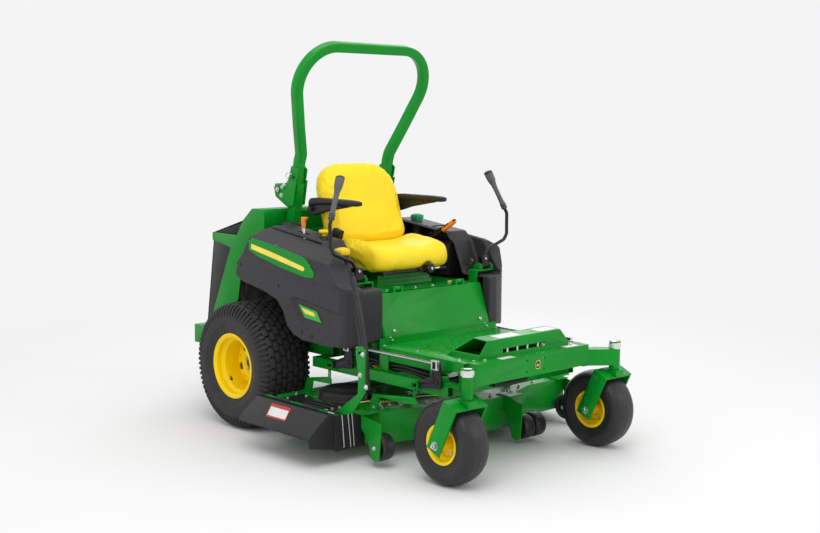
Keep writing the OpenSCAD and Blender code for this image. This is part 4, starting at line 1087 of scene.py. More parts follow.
def filled(obj, swell, frames=20):
    """Blows a pad up with a short cloth run, keeping each point near where it began."""
    start = obj.copy()
    start.data = obj.data.copy()
    cloth = obj.modifiers.new("cloth", "CLOTH")
    cloth.settings.use_pressure = True
    cloth.settings.uniform_pressure_force = 4.0
    cloth.settings.tension_stiffness = 30
    cloth.settings.compression_stiffness = 30
    cloth.settings.bending_stiffness = 4
    cloth.settings.quality = 5
    cloth.settings.effector_weights.gravity = 0.0
    cloth.point_cache.frame_start = 1
    cloth.point_cache.frame_end = frames
    scene = bpy.context.scene
    for frame in range(1, frames + 1):
        scene.frame_set(frame)
    baked(obj)
    for v, w in zip(obj.data.vertices, start.data.vertices):
        move = v.co - w.co
        far = move.length
        if far > swell:
            move = move * (swell / far)
        v.co = w.co + move
    scene.frame_set(1)
    data = start.data
    bpy.data.objects.remove(start)
    bpy.data.meshes.remove(data)


def seat_back():
    """Lofted across from side to side, so that the back's face is dished and its edge is round."""
    #        x, foot, top, front bulge, back bulge
    stations = ((0, 938, 1383, 0, 0), (70, 938, 1383, 1, 0), (130, 940, 1379, -2, 0), (175, 944, 1366, -9, 1),
                (205, 950, 1346, -16, 3), (228, 962, 1316, -22, 7), (244, 985, 1270, -17, 13), (253, 1020,
                1215, 2, 26),
                (257, 1070, 1165, 22, 44))
    rings = []
    order = [(-x, a, b, c, d) for x, a, b, c, d in reversed(stations[1:])] + list(stations)
    for x, low, high, front, rear in order:
        lo, hi = low, high
        ring = []
        for t, face in ((0.0, 0.35), (0.06, 0.85), (0.16, 1.0), (0.4, 1.0), (0.65, 1.0), (0.85, 0.96), (0.95,
                0.8),
                        (1.0, 0.45)):
            z = lo + (hi - lo) * t
            mid = -278 + (z - 940) * 0.235
            ring.append((x, mid - (80 - 0.072 * (z - 940) - front) * face, z))
        for t, face in ((0.97, 0.5), (0.85, 0.95), (0.6, 1.0), (0.35, 1.0), (0.12, 1.0), (0.03, 0.7)):
            z = lo + (hi - lo) * t
            mid = -278 + (z - 940) * 0.235
            ring.append((x, mid + (22 + 0.075 * (z - 940) - rear) * face, z))
        rings.append(smooth_ring(ring, 3))
    shape = Shape()
    shape.loft(rings)
    obj = shape.object("seat_back_pad")
    melt(obj, 0.0055, 6, 0.5)
    return obj


def seat_base():
    shape = Shape()
    rings = []
    stations = ((0, 0, 0, 0, 0), (60, 0, 1, 0, 0), (120, -1, 3, 0, 0), (165, -3, 11, 1, 0), (200, -8, 22, 3, 0),
                (226, -16, 30, 6, -2), (244, -28, 22, 12, -6), (254, -42, 2, 22, -16), (257, -58, -26, 34, -30))
    order = [(-x, a, b, c, d) for x, a, b, c, d in reversed(stations[1:])] + list(stations)
    for x, nose, crown_, heel, floor in order:
        ring = [(x, -672 - nose * 0.8, 852 + abs(floor) * 0.6), (x, -701 - nose, 866 + abs(floor) * 0.3),
                (x, -710 - nose, 900), (x, -698 - nose, 938 + crown_ * 0.2), (x, -655 - nose * 0.6,
                958 + crown_ * 0.5),
                (x, -560, 962 + crown_ * 0.9), (x, -470, 966 + crown_ * 1.05), (x, -400, 966 + crown_),
                (x, -345 - heel, 960 + crown_ * 0.6), (x, -312 - heel, 934 + crown_ * 0.2), (x, -298 - heel,
                890),
                (x, -300 - heel, 858 + abs(floor) * 0.5), (x, -360, 851), (x, -500, 850), (x, -610, 850)]
        rings.append(smooth_ring(ring, 3))
    shape.loft(rings)
    obj = shape.object("seat_cushion_pad")
    notch = Shape().knob([(44, -80), (44, -8), (36, 30), (20, 42), (1, 44)], (80, -700, 842), (0, 1, 0), 40)
    cut(obj, notch.object("notch"))
    melt(obj, 0.0055, 6, 0.5)
    return obj


def piping(obj, path, depth, width):
    """Presses a seam into a pad along a line."""
    points = [at(*p) for p in curve_through(path, 10)]
    for v in obj.data.vertices:
        near = min((v.co - p).length for p in points)
        if near < width:
            k = 1 - near / width
            v.co -= v.normal * depth * k * k * (3 - 2 * k)


@operator("Seat", "Builds the padded seat cushion and back with their seams")
def seat():
    swell = bpy.context.scene.mower_sizes.seat_swell
    cushion = seat_base()
    back = seat_back()
    filled(cushion, swell * 0.5)
    filled(back, swell * 0.5)
    for s in (-1, 1):
        piping(back, [(s * 120, -372, 966), (s * 134, -366, 1060), (s * 140, -330, 1200), (s * 132, -290, 1310),
                      (s * 112, -258, 1362)], 0.0018, 0.007)
        piping(cushion, [(s * 128, -700, 880), (s * 131, -706, 920), (s * 134, -640, 962), (s * 136, -480, 972),
                         (s * 134, -370, 966)], 0.0018, 0.007)
    for obj, node in ((cushion, "seat_cushion"), (back, "seat_back")):
        sub = obj.modifiers.new("smooth", "SUBSURF")
        sub.levels = sub.render_levels = 1
        for f in obj.data.polygons:
            f.use_smooth = True
        settle(obj, "seat", "vinyl", [node])
    # plastic back shell and foot of the back
    shell = Shape()
    shell.side([(-262, 934), (-252, 944), (-148, 1296), (-140, 1306), (-146, 1296), (-236, 934)], -188, 188)
    shell.piece("seat_back_shell", "seat", "black_plastic", "black_plastic", edge=2)
    under = Shape()
    under.box(-222, 222, -690, -300, 838, 850)
    under.side([(-300, 846), (-240, 960), (-226, 960), (-226, 950), (-280, 838)], -120, 120)
    under.piece("seat_under_tray", "seat", "black_plastic", "black_plastic", edge=3)
    knob = Shape()
    rings = []
    for r, t in ((10, 0), (22, 2), (25, 6), (25, 16), (21, 20), (8, 21)):
        ring = []
        for k in range(60):
            a = 2 * math.pi * k / 60
            rr = r * (1 + 0.1 * math.cos(6 * a))
            ring.append((80 + rr * math.cos(a), -706 - t, 852 + rr * math.sin(a)))
        rings.append(ring)
    knob.loft(rings)
    knob.piece("seat_adjust_knob", "seat", "black_plastic", "black_plastic", edge=0.0, angle=40)
    lever = Shape()
    lever.pipe([(86, -700, 850), (104, -716, 850), (122, -724, 851), (136, -722, 853)], 5.5, 14, 6)
    lever.rod((80, -727, 852), (80, -731, 852), 8)
    lever.piece("seat_adjust_lever", "seat", "zinc_steel", "zinc", angle=40)


@operator("Armrests", "Builds the two padded armrests")
def armrests():
    for s, side in ((LEFT, "left"), (RIGHT, "right")):
        shape = Shape()
        pad = []
        for y, w, z0, z1 in ((-600, 10, 1186, 1196), (-594, 20, 1178, 1201), (-572, 25, 1175, 1205), (-500, 27,
                1176, 1207),
                             (-380, 27, 1177, 1207), (-270, 27, 1170, 1207), (-225, 26, 1160, 1203), (-206, 18,
                             1150, 1192),
                             (-200, 8, 1160, 1180)):
            pad.append(squared_oval((295, y, (z0 + z1) / 2), (1, 0, 0), (0, 0, 1), w, (z1 - z0) / 2, 0.6, 24))
        shape.loft(pad)
        shape.side([(-540, 1180), (-520, 1170), (-340, 1138), (-250, 1112), (-218, 1114), (-204, 1138), (-208,
                1180)], 279, 311)
        shape.to_side(s)
        obj = shape.object("armrest_%s_pad" % side)
        melt(obj, 0.004, 5, 0.5)
        bore = Shape().rod((240, -232, 1146), (350, -232, 1146), 9.6, 32)
        bore.to_side(s)
        cut(obj, bore.object("bore"))
        crease(obj, 45)
        settle(obj, "arm_" + side, "black_plastic", ["armrest_" + side])
        cap = Shape().knob([(9.2, -60), (9.2, 12), (14, 13), (15, 15), (14, 18), (6, 20)], (311, -232, 1146),
                (1, 0, 0), 32)
        cap.to_side(s)
        cap.piece("armrest_%s_pivot" % side, "seat", "zinc_steel", "black_plastic", angle=40)


@operator("Seat belt", "Builds the lap belt's buckle and webbing")
def seat_belt():
    web = Shape()
    web.sweep(curve_through([(-262, -292, 930), (-270, -340, 948), (-276, -384, 962), (-279, -420, 985)], 8),
              [(-1.2, -23), (1.2, -23), (1.2, 23), (-1.2, 23)], (1, 0.2, 0))
    web.piece("belt_webbing", "seat", "black_plastic", "hose", edge=0.3)
    buckle = Shape()
    buckle.loft([[(-286, -404, 968), (-262, -404, 968), (-262, -352, 984), (-286, -352, 984)],
                 [(-291, -422, 1000), (-260, -422, 1000), (-260, -362, 1018), (-291, -362, 1018)],
                 [(-291, -436, 1034), (-262, -436, 1034), (-262, -378, 1050), (-291, -378, 1050)],
                 [(-288, -440, 1044), (-265, -440, 1044), (-265, -382, 1058), (-288, -382, 1058)]])
    buckle.piece("belt_buckle", "seat", "black_plastic", "black_plastic", edge=3.0, segments=3)


# ---------------------------------------------------------------- controls


GRIP_BASE, GRIP_TOP = Vector((602, -745, 1136)), Vector((509, -703, 1335))


def frame_of(direction):
    d = Vector(direction).normalized()
    across = Vector((0, 1, 0)).cross(d).normalized()
    return d, across, d.cross(across).normalized()


@operator("Drive levers", "Builds the bent steering levers and their grey grips")
def drive_levers():
    d, across, out = frame_of(GRIP_TOP - GRIP_BASE)
    length = (GRIP_TOP - GRIP_BASE).length
    for s, side in ((LEFT, "left"), (RIGHT, "right")):
        bar = Shape()
        path = [(440, -745, 884), (455, -745, 903), (470, -745, 926), (590, -753, 972), (611, -753, 1003),
                (611, -752, 1040),
                tuple(GRIP_BASE - d * 26), tuple(GRIP_BASE + d * 6)]
        line = bent_path([Vector(p) for p in path], 30, 7)
        section = [(9 * math.cos(math.pi * k / 10), 9 * math.sin(math.pi * k / 10)) for k in range(20)]
        bar.sweep(line, section, (0, 1, 0))
        bar.knob([(8, -10), (16, -9.4), (16, 9.4), (8, 10)], (440, -745, 880), (0, 1, 0), 40)
        bar.to_side(s)
        bar.piece("control_lever_%s_bar" % side, "stick_" + side, "black_paint", "black_paint", angle=35,
                  stands_for=["control_lever_" + side])
        grip = Shape()
        rings = []
        for t, w, h in ((0, 11, 11), (0.01, 14.0, 14.0), (0.07, 15, 15), (0.13, 15.4, 15.4), (0.16, 14.0, 13.6),
                        (0.2, 12.8, 12.4), (0.35, 12.6, 12.2), (0.55, 12.6, 12.6), (0.66, 13.2, 13.5), (0.72,
                        15.5, 17.5),
                        (0.78, 17.6, 21.5), (0.88, 18.0, 22.8), (0.96, 18.0, 23.2), (0.985, 17.2, 22.0), (1.0,
                        14.5, 19)):
            rings.append(squared_oval(GRIP_BASE + d * (t * length), across, out, w, h,
                    0.72 if t > 0.6 else 1.0, 28))
        grip.loft(rings)
        grip.to_side(s)
        grip.piece("lever_grip_%s_sleeve" % side, "stick_" + side, "grey_grip", "grip", angle=40,
                   stands_for=["lever_grip_" + side])
        trims = Shape()
        rings = []
        for t, w, h in ((0.972, 18.4, 23.6), (0.99, 17.8, 22.8), (1.004, 15.2, 19.6), (1.012, 11, 15)):
            rings.append(squared_oval(GRIP_BASE + d * (t * length), across, out, w, h, 0.72, 28))
        trims.loft(rings)
        for k in range(3):
            spot = GRIP_BASE + d * (length * (0.03 + 0.045 * k))
            trims.knob([(15.4, -2.2), (16.4, -1.2), (16.4, 1.2), (15.4, 2.2)], spot, d, 32)
        trims.to_side(s)
        trims.piece("lever_grip_%s_trim" % side, "stick_" + side, "black_plastic", "black_plastic", angle=40)
        boots = Shape()
        for y in (-758, -732):
            boots.bolt((440, y, 880), (0, 1 if y > -745 else -1, 0), 7.5)
        boots.to_side(s)
        boots.piece("lever_pivot_bolts_" + side, "yoke_" + side, "zinc_steel", "zinc", edge=0.4)


def lobed(shape, centre, axis, profile, lobes, depth, steps=72):
    """A knob with a lobed rim; the profile is (radius, along, how much of the lobes shows)."""
    axis = Vector(axis).normalized()
    u = axis.orthogonal().normalized()
    v = axis.cross(u)
    rings = []
    for r, t, k in profile:
        ring = []
        for i in range(steps):
            a = 2 * math.pi * i / steps
            wave = max(0.0, 0.5 + 0.5 * math.cos(lobes * a)) ** 0.6
            rr = max(r * (1 - depth * k * (1 - wave)), 0.05)
            ring.append(Vector(centre) + axis * t + u * (rr * math.cos(a)) + v * (rr * math.sin(a)))
        rings.append(ring)
    return shape.loft(rings)


@operator("Console controls", "Builds the fuel cap, height dial, blade switch, throttle and brake handle")
def console_controls():
    cap = Shape()
    lobed(cap, (430, -241, 1048), (0, 0, 1), ((30, 0, 0), (31, 4, 0), (30, 10, 0), (34.5, 12, 1), (36, 16, 1),
            (36, 30, 1),
                                            (33, 34, 1), (24, 36, 0.4), (20, 39, 0), (8, 39.8, 0)), 8, 0.16)
    cap.piece("fuel_cap_lobes", "cap", "teal_plastic", "teal_plastic", angle=38, stands_for=["fuel_cap"])
    dial = Shape()
    lobed(dial, (-450, -646, 950), (0, 0, 1), ((30, 0, 0), (36, 2, 1), (38.5, 6, 1), (38.5, 26, 1), (35, 31,
            1), (24, 32.5, 0.3),
                                             (20, 36, 0), (8, 37.5, 0)), 8, 0.12)
    dial.piece("height_dial_head", "dial", "yellow_plastic", "yellow_plastic", angle=38,
            stands_for=["height_dial"])
    post = Shape()
    lobed(post, (-450, -646, 900), (0, 0, 1), ((24, 0, 0), (25.5, 2, 0), (25.5, 30, 0), (28, 36, 0), (30, 44,
            0), (30, 50, 0)), 8, 0)
    post.piece("height_dial_skirt", "dial", "black_plastic", "black_plastic", angle=38)
    pto = Shape()
    pto.knob([(9.5, -20), (9.5, 8), (12, 14), (24, 20), (27, 24), (27, 30), (24, 34), (12, 36), (0.5, 36.5)],
             (-430, -480, 1027), (0, 0, 1), 48)
    pto.knob([(9.5, -40), (9.5, 2)], (-430, -480, 1020), (0, 0, 1), 32)
    pto.piece("pto_knob_head", "pto", "yellow_plastic", "yellow_plastic", angle=38, stands_for=["pto_knob"])
    collar = Shape()
    collar.turned([(14, 0), (22, 0), (24, 2), (23, 6), (16, 8), (14, 8)], (-430, -480, 1022), "Z", 40)
    collar.piece("pto_collar", "chassis", "black_plastic", "black_plastic", angle=38)
    stem = Shape()
    stem.loft([[(-466, y0, z), (-454, y0, z), (-454, y1, z), (-466, y1, z)] for y0, y1, z in
               ((-362, -348, 998), (-359, -350, 1050), (-357, -350, 1078))])
    stem.rod((-470, -355, 1000), (-450, -355, 1000), 9)
    stem.piece("throttle_stem", "throttle", "zinc_steel", "zinc", edge=1.0, stands_for=["throttle_lever"])
    grip = Shape()
    grip.loft([[(-460 - w, a, z), (-460 + w, a, z), (-460 + w, b, z), (-460 - w, b, z)] for w, a, b, z in
               ((5, -362, -346, 1062), (6.5, -365, -343, 1066), (7, -366, -342, 1100), (7, -378, -342, 1108),
                (7, -386, -342, 1117), (5.5, -383, -345, 1120))])
    grip.piece("throttle_handle", "throttle", "orange_plastic", "orange_plastic", edge=2.4, segments=3)
    slots = Shape()
    slots.box(-492, -428, -404, -306, 1023, 1026)
    slots.turn(-7.5, "X", (-460, -355, 1024))
    slots.piece("throttle_plate", "chassis", "black_plastic", "black_plastic", edge=1)
    handle = Shape()
    a, b = Vector((347, -520, 1012)), Vector((347, -622, 1076))
    dirn = (b - a).normalized()
    up = Vector((1, 0, 0)).cross(dirn)
    rings = []
    for t, w, h in ((0.12, 8, 9), (0.16, 10.5, 12), (0.5, 11, 13), (0.9, 11.5, 13.5), (0.985, 10, 12), (1.0, 7,
            8)):
        rings.append(squared_oval(a + (b - a) * t, (1, 0, 0), up, w, h, 0.7, 20))
    handle.loft(rings)
    handle.piece("brake_grip", "brake", "orange_plastic", "orange_plastic", angle=40)
    console = Shape()
    console.loft([[(-412, y, z + d_), (-390, y, z + d_), (-390, y2, z2 + d_), (-412, y2, z2 + d_)] for y, z,
            y2, z2, d_ in
                  ((-430, 1030, -500, 1021, 0), (-430, 1030, -500, 1021, 4))])
    for k in range(2):
        console.loft([[(-482 + 30 * k, -520, 1019 + d_), (-460 + 30 * k, -520, 1019 + d_), (-460 + 30 * k,
                -540, 1016.5 + d_),
                       (-482 + 30 * k, -540, 1016.5 + d_)] for d_ in (0, 6)])
    console.piece("console_switches", "chassis", "black_plastic", "black_plastic", edge=1.0)
    holder = Shape()
    holder.turned([(42, 0), (46, 0), (47, 2), (46, 5), (42, 6), (41, 3)], (430, -420, 1030), "Z", 48)
    holder.turn(-6.7, "X", (430, -420, 1030))
    holder.piece("cup_holder_rim", "chassis", "black_plastic", "black_plastic", angle=40)


# ---------------------------------------------------------------- deck


def roller(name, body, node, x0, x1, y, z, radius, rows):
    shape = Shape()
    for a, b in rows:
        w = b - a
        shape.turned([(9, a), (24, a), (26, a + 3), (28, a + 9), (46, a + 9), (radius - 15, a + 2),
                (radius - 9, a),
                      (radius - 4, a + 3), (radius - 1, a + 9), (radius, a + w * 0.3), (radius, b - w * 0.3),
                      (radius - 1, b - 9),
                      (radius - 4, b - 3), (radius - 9, b), (radius - 15, b - 2), (46, b - 9), (28, b - 9),
                      (26, b - 3),
                      (24, b), (9, b)], (0, y, z), "X", 72)
    shape.piece(name, body, "black_plastic", "caster_tyre", angle=45, stands_for=[node])
    pin = Shape()
    pin.bolt((x0 - 10, y, z), (-1, 0, 0), 8)
    pin.piece(name + "_bolt", "deck", "zinc_steel", "zinc", edge=0.4)


@operator("Deck rollers", "Builds the anti-scalp rollers with their bolts")
def deck_rollers():
    roller("roller_right_tyre", "roller_right", "antiscalp_wheel_right", -594, -524, -1060, 95, 65, [(-594,
            -524)])
    roller("roller_centre_tyres", "roller_centre", "antiscalp_wheels_centre", 216, 372, -1210, 86, 62, [(216,
            288), (300, 372)])
    roller("roller_left_tyre", "roller_left", "antiscalp_wheel_left", 700, 770, -1100, 95, 65, [(700, 770)])


@operator("Discharge chute", "Builds the cover plate, ribs, label and guard wires round the discharge chute")
def discharge_chute():
    plate = Shape()
    plate.plan([(-694, -440), (-690, -866), (-676, -884), (-540, -884), (-512, -850), (-520, -770), (-566,
            -700), (-572, -600),
                (-548, -520), (-520, -440)], 235.6, 239.6)
    plate.piece("chute_cover", "deck", "black_plastic", "deck_plastic", edge=1.4)
    ribs = Shape()
    for a, b in (((-688, -646), (-679, -790)), ((-648, -630), (-640, -786)), ((-606, -612), (-598, -790))):
        ribs.pipe([(*a, 236), (*a, 244), (a[0] * 0.95 + b[0] * 0.05, a[1] * 0.95 + b[1] * 0.05, 247),
                   (a[0] * 0.05 + b[0] * 0.95, a[1] * 0.05 + b[1] * 0.95, 247), (*b, 244), (*b, 236)], 3.6, 12,
                   6)
    ribs.piece("chute_cover_ribs", "deck", "black_plastic", "deck_plastic", angle=45)
    studs = Shape()
    for x, y in ((-676, -800), (-636, -796), (-594, -800), (-660, -480), (-560, -500), (-590, -850)):
        studs.bolt((x, y, 239.6), (0, 0, 1), 7)
    studs.piece("chute_cover_bolts", "deck", "zinc_steel", "zinc", edge=0.3)
    rod = Shape()
    rod.rod((-704, -892, 244), (-704, -402, 244), 4.6)
    rod.pipe([(-704, -402, 244), (-704, -396, 240), (-704, -394, 228)], 3.2)
    rod.piece("chute_hinge_rod", "deck", "zinc_steel", "zinc", angle=40)
    wires = Shape()
    for top, low in (((-664, 232), (-650, 76)), ((-628, 234), (-609, 72)), ((-604, 234), (-588, 72))):
        wires.pipe([(top[0], -897, top[1]), (top[0] * 0.9 + low[0] * 0.1, -900.5, top[1] * 0.9 + low[1] * 0.1),
                    (top[0] * 0.1 + low[0] * 0.9, -900.5, top[1] * 0.1 + low[1] * 0.9), (low[0], -897,
                    low[1])], 3.0, 12, 6)
    wires.piece("guard_wires", "deck", "zinc_steel", "zinc", angle=45)

    def slope(t):
        return (-748 - 108 * t, 246.8 - 90 * t)

    for name, finish, corners, low, high in (
            ("chute_label_red", "label_red", ((0.14, -488), (0.14, -640), (0.68, -668), (0.68, -516)), -0.2,
                    0.7),
            ("chute_label_white", "label_white", ((0.27, -500), (0.27, -640), (0.62, -659), (0.62, -519)), 0.5,
            1.1)):
        label = Shape()
        ring = [(slope(t)[0], y, slope(t)[1]) for t, y in reversed(corners)]
        label.loft([[(x + d * 0.64, y, z + d * 0.77) for x, y, z in ring] for d in (low, high)])
        label.piece(name, "deflector", "black_plastic", finish, edge=0.1)


# Adds nuts, link rods, a spring and belt cover tops to the deck
@operator("Deck fittings", "Adds nuts, link rods, springs and blank labels to the deck")
def deck_fittings():
    rods = Shape()
    rods.pipe([(-448, -918, 250), (-440, -918, 262), (-400, -930, 264), (-362, -950, 264), (-350, -958, 252)],
            4.2, 12, 6)
    rods.pipe([(-566, -812, 252), (-500, -852, 262), (-430, -884, 264), (-380, -906, 258)], 4.6, 12, 6)
    rods.pipe([(-300, -930, 250), (-240, -960, 268), (-160, -1000, 270), (-110, -1030, 256)], 4.6, 12, 6)
    rods.pipe([(-30, -980, 260), (60, -1000, 266), (150, -1010, 262)], 5, 12, 6)
    rods.piece("deck_links", "deck", "zinc_steel", "gold_zinc", angle=45)
    bolts = Shape()
    for x, y in ((-470, -906), (-440, -930), (-400, -870), (-372, -908), (-330, -940), (-292, -925), (-250,
            -968),
                 (-200, -985), (-120, -1036), (-20, -1080), (150, -1086), (300, -1060), (420, -1030), (560,
                 -1000),
                 (-320, -420), (-100, -420), (120, -420), (400, -420), (640, -420), (740, -520), (-560, -420)):
        bolts.bolt((x, y, 235), (0, 0, 1), 9, nut=True)
    bolts.piece("deck_nuts", "deck", "zinc_steel", "zinc", edge=0.4)
    spring = Shape()
    path = []
    for k in range(121):
        a = 2 * math.pi * k / 10
        t = k / 120
        path.append((-230 + 150 * t, -880 - 70 * t + 10 * math.cos(a), 270 + 10 * math.sin(a)))
    section = [(2.0 * math.cos(2 * math.pi * k / 8), 2.0 * math.sin(2 * math.pi * k / 8)) for k in range(8)]
    spring.sweep(path, section, (0, 1, 0))
    spring.piece("idler_spring", "deck", "zinc_steel", "zinc", angle=45)
    covers = Shape()
    for x, y in ((-410, -640), (570, -640)):
        covers.knob([(122, -0.4), (121, 0.8), (112, 1.4), (60, 1.4), (58, 0.6), (40, 0.5), (0.5, 0.5)], (x, y,
                284.8), (0, 0, 1), 64)
    covers.piece("belt_cover_tops", "deck", "black_plastic", "deck_plastic", angle=40)


@operator("Chute lever sleeve", "Builds the thick sleeve and pivot of the chute lever")
def chute_sleeve():
    sleeve = Shape()
    sleeve.sweep(bent_path([Vector(p) for p in ((-639, -1056, 372), (-639, -1040, 560), (-639, -1006, 706),
            (-639, -968, 826),
                                                (-639, -950, 890))], 60, 6),
                 rounded_square(17, 24, 6, 3), (1, 0, 0))
    sleeve.piece("chute_handle_sleeve", "chute_handle", "black_paint", "caster_tyre", angle=40)
    nuts = Shape()
    for y, z in ((-1018, 440), (-1036, 540), (-1060, 390)):
        nuts.bolt((-652, y, z), (-1, 0, 0), 9)
    nuts.piece("chute_bracket_bolts", "deck", "zinc_steel", "zinc", edge=0.4)


# ---------------------------------------------------------------- front frame


@operator("Foot rest and floor", "Adds raised grip studs, blank labels, bolts and the emblem at the front")
def front_fittings():
    studs = Shape()
    for i in range(13):
        for j in range(9):
            x, y = -312 + 52 * i, -912 - 36 * j
            if j >= 4 and abs(x) < 320 and y < -1215:
                continue
            x += 13 if j % 2 else -13
            studs.knob([(6.5, -0.6), (6.2, 0.4), (4.6, 1.7), (2.4, 2.4), (0.4, 2.5)], (x, y, 526), (0, 0, 1),
                    12)
    studs.piece("floor_studs", "chassis", "green_paint", "green_paint", angle=60)
    labels = Shape()
    for x0, x1, y0, y1, z0, z1 in ((-165, -20, -1432, -1368, 610.6, 613.4), (120, 236, -1432, -1368, 610.6,
            613.4),
                                   (-216, -126, -1500, -1462, 528.3, 528.3), (236, 330, -1500, -1462, 528.3,
                                   528.3)):
        labels.loft([[(x0, y0, z0 + d), (x1, y0, z0 + d), (x1, y1, z1 + d), (x0, y1, z1 + d)] for d in (0.1,
                0.8)])
    labels.piece("foot_rest_labels", "chassis", "black_plastic", "label_white", edge=0.1)
    pins = Shape()
    for x in (-120, -52, 18, 92):
        pins.rod((x, -1442, 542), (x, -1442, 563), 4.5)
    pins.piece("foot_rest_pins", "chassis", "zinc_steel", "label_white", angle=40)
    emblem = Shape()
    shield = [(-15, 462), (-10, 457), (10, 457), (15, 462), (16, 490), (12, 496), (-12, 496), (-16, 490)]
    emblem.front([(x + 14, z) for x, z in shield], -1513.4, -1511)
    emblem.piece("beam_emblem", "chassis", "black_plastic", "black_plastic", edge=0.3)
    border = Shape()
    inner = inset(list(shield), 2.6)
    for i in range(len(shield)):
        j = (i + 1) % len(shield)
        border.front([(x + 14, z) for x, z in (shield[i], shield[j], inner[j], inner[i])], -1514.0, -1513.2)
    border.front([(x + 14, z) for x, z in ((-6, 470), (6, 470), (0, 484))], -1514.0, -1513.2)
    border.piece("emblem_border", "chassis", "yellow_plastic", "stripe", edge=0.1)
    bolts = Shape()
    for x, z in ((-330, 552), (330, 552), (-300, 585), (300, 585)):
        bolts.bolt((x, -868 if z < 570 else -862, z), (0, -1, 0.1), 7)
    for x, y in ((-300, -1470), (-372, -1380), (372, -1380), (-372, -1100), (372, -1100), (300, -1470)):
        bolts.bolt((x, y, 526 if y > -1450 else 528), (0, 0, 1), 8)
    for x, y in ((-250, -748), (-180, -752), (180, -752), (250, -748), (-60, -752), (60, -752)):
        bolts.bolt((x, y, 766), (0, 0, 1), 8)
    bolts.piece("front_bolts", "chassis", "zinc_steel", "zinc", edge=0.4)
    tab = Shape()
    tab.box(196, 232, -742, -722, 766, 778)
    tab.piece("seat_latch_tab", "chassis", "yellow_plastic", "yellow_plastic", edge=3, segments=3)


@operator("Hoses and cables", "Runs the hoses and cable bundles under the floor")
def hoses():
    dark = Shape()
    for dx, dz, r in ((0, 0, 9), (16, 4, 7), (-6, 18, 8), (12, 24, 6)):
        dark.pipe([(-388 + dx, -700, 430 + dz), (-392 + dx, -800, 436 + dz), (-386 + dx, -920, 424 + dz),
                   (-390 + dx, -1040, 432 + dz), (-384 + dx, -1160, 420 + dz), (-340 + dx, -1260, 404 + dz)],
                   r, 14, 8)
    dark.pipe([(-360, -1240, 408), (-240, -1330, 396), (-120, -1385, 392), (0, -1400, 396), (120, -1370, 400),
            (200, -1300, 410)],
              9, 14, 8)
    dark.pipe([(-340, -1230, 396), (-220, -1340, 380), (-100, -1392, 380), (20, -1404, 384), (130, -1360, 392),
            (210, -1280, 404)],
              7, 14, 8)
    dark.piece("cable_bundle", "chassis", "black_plastic", "hose", angle=50)
    loom = Shape()
    path = curve_through([(-150, -1384, 386), (-80, -1398, 384), (0, -1404, 386), (60, -1398, 389)], 16)
    scales = [1.0 + (0.13 if k % 2 else 0.0) for k in range(len(path))]
    section = [(13 * math.cos(2 * math.pi * k / 16), 13 * math.sin(2 * math.pi * k / 16)) for k in range(16)]
    loom.sweep(path, section, (0, 0, 1), scales=scales)
    loom.piece("loom_sleeve", "chassis", "black_plastic", "hose", angle=20)
    links = Shape()
    for s in (-1, 1):
        a, b = Vector((s * 388, -640, 800)), Vector((s * 388, -716, 872))
        d = (b - a).normalized()
        n = Vector((0, -d.z, d.y)) * 9
        rings = [[a - n + Vector((x, 0, 0)), b - n + Vector((x, 0, 0)), b + n + Vector((x, 0, 0)),
                a + n + Vector((x, 0, 0))]
                 for x in (-1.5, 1.5)]
        links.loft(rings)
    links.piece("lever_dampers", "chassis", "zinc_steel", "zinc", edge=0.4)


# Adds hoses round the engine and ribs on the cooler
@operator("Engine details", "Adds hoses, ribs and fittings round the engine and cooler")
def engine_details():
    pipes = Shape()
    pipes.pipe([(150, 380, 900), (150, 330, 912), (120, 250, 905), (90, 180, 880), (80, 120, 850)], 17, 18, 8)
    pipes.pipe([(-160, 390, 520), (-170, 330, 515), (-150, 250, 530), (-120, 180, 560)], 17, 18, 8)
    pipes.pipe([(230, 60, 500), (250, 120, 520), (250, 220, 540), (220, 300, 560)], 9, 14, 8)
    pipes.pipe([(-230, 60, 500), (-250, 120, 520), (-250, 220, 540), (-220, 300, 560)], 9, 14, 8)
    pipes.piece("coolant_hoses", "chassis", "black_plastic", "hose", angle=50)
    fins = Shape()
    for k in range(26):
        z = 500 + 16.5 * k
        fins.box(-250, 250, 446, 452.5, z, z + 2.2)
    fins.piece("cooler_fins", "chassis", "cast_grey", "iron", edge=0.0)


# ---------------------------------------------------------------- studio


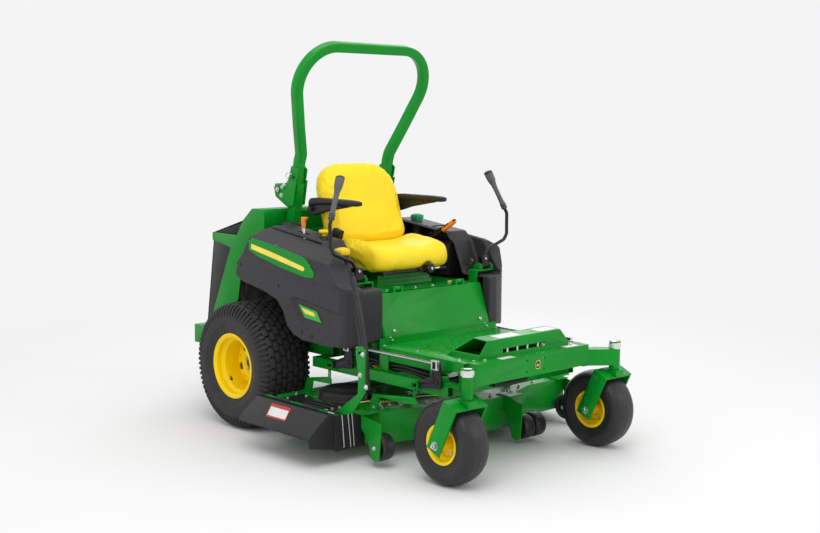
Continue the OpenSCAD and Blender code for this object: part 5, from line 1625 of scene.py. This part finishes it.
@operator("Studio", "Builds the floor, the lights, the backdrop and the camera")
def studio():
    scene = bpy.context.scene
    floor = bpy.data.meshes.new("floor")
    bm = bmesh.new()
    bmesh.ops.create_grid(bm, x_segments=2, y_segments=2, size=40)
    bm.to_mesh(floor)
    bm.free()
    ground = bpy.data.objects.new("floor", floor)
    scene.collection.objects.link(ground)
    f = Finish("studio floor", colour=(0.805, 0.805, 0.805), Roughness=0.6, Specular_IOR_Level=0.0)
    f.drive("Base Color", f.mix(f.between(f.grain(1.5), 0.3, 0.7), (0.8, 0.8, 0.8), (0.81, 0.81, 0.81)))
    spot = f.place()
    reach = spot.part("X") * spot.part("X") + spot.part("Y") * spot.part("Y")
    f.drive("Alpha", f.between(reach, 4.0, 22.0, 1.0, 0.0))
    floor.materials.append(f.material)

    world = bpy.data.worlds.new("studio")
    world.use_nodes = True
    world.node_tree.nodes["Background"].inputs[0].default_value = (1.0, 1.0, 1.0, 1.0)
    world.node_tree.nodes["Background"].inputs[1].default_value = 0.905
    scene.world = world

    for name, place, size, power in (("key", (-2.6, -2.2, 4.6), (3.0, 3.0), 70),
                                     ("front", (2.5, -5.0, 2.6), (3.0, 2.0), 30),
                                     ("top", (0.4, 0.6, 5.0), (4.0, 3.0), 40),
                                     ("rim", (4.0, 3.0, 3.0), (2.5, 2.5), 30)):
        lamp = bpy.data.lights.new(name, "AREA")
        lamp.shape = "RECTANGLE"
        lamp.size, lamp.size_y = size
        lamp.energy = power
        obj = bpy.data.objects.new(name, lamp)
        obj.location = place
        obj.rotation_euler = (Vector((0, 0, 0.6)) - Vector(place)).to_track_quat("-Z", "Y").to_euler()
        scene.collection.objects.link(obj)

    camera = bpy.data.cameras.new("camera")
    camera.sensor_width = 36.0
    camera.lens = 54.77
    camera.clip_end = 100.0
    camera.dof.use_dof = False
    view = bpy.data.objects.new("camera", camera)
    turn, rise, roll, far = (math.radians(-42.92315), math.radians(6.77739), math.radians(0.36376), 6.325767)
    back = Vector((math.sin(turn) * math.cos(rise), -math.cos(turn) * math.cos(rise), math.sin(rise)))
    right = (-back).cross(Vector((0, 0, 1))).normalized()
    up = right.cross(-back)
    across = right * math.cos(roll) + up * math.sin(roll)
    upright = up * math.cos(roll) - right * math.sin(roll)
    spot = at(-48.55, -700.0, 868.62) + back * far
    view.matrix_world = Matrix((across, upright, back)).transposed().to_4x4()
    view.location = spot
    scene.collection.objects.link(view)
    scene.camera = view
    scene.view_settings.view_transform = "Standard"
    scene.view_settings.exposure = 0.0


class MOWER_PT_panel(bpy.types.Panel):
    """Lists the mower's pieces in the sidebar"""

    bl_idname = "MOWER_PT_panel"
    bl_label = "Mower"
    bl_space_type = "VIEW_3D"
    bl_region_type = "UI"
    bl_category = "Mower"

    def draw(self, context):
        layout = self.layout
        for group in (context.scene.mower_paint, context.scene.mower_sizes):
            for name in group.__annotations__:
                layout.prop(group, name)
        for cls in OPERATORS:
            layout.operator(cls.bl_idname)


CLASSES = [MowerPaint, MowerSizes, *OPERATORS, MOWER_PT_panel]


def register():
    for cls in CLASSES:
        bpy.utils.register_class(cls)
    bpy.types.Scene.mower_paint = PointerProperty(type=MowerPaint)
    bpy.types.Scene.mower_sizes = PointerProperty(type=MowerSizes)


def unregister():
    del bpy.types.Scene.mower_paint
    del bpy.types.Scene.mower_sizes
    for cls in reversed(CLASSES):
        bpy.utils.unregister_class(cls)


def main():
    register()
    for cls in OPERATORS:
        step = getattr(bpy.ops.mower, cls.bl_idname.split(".")[1])
        step()
    bpy.context.view_layer.update()


if __name__ == "__main__":
    main()
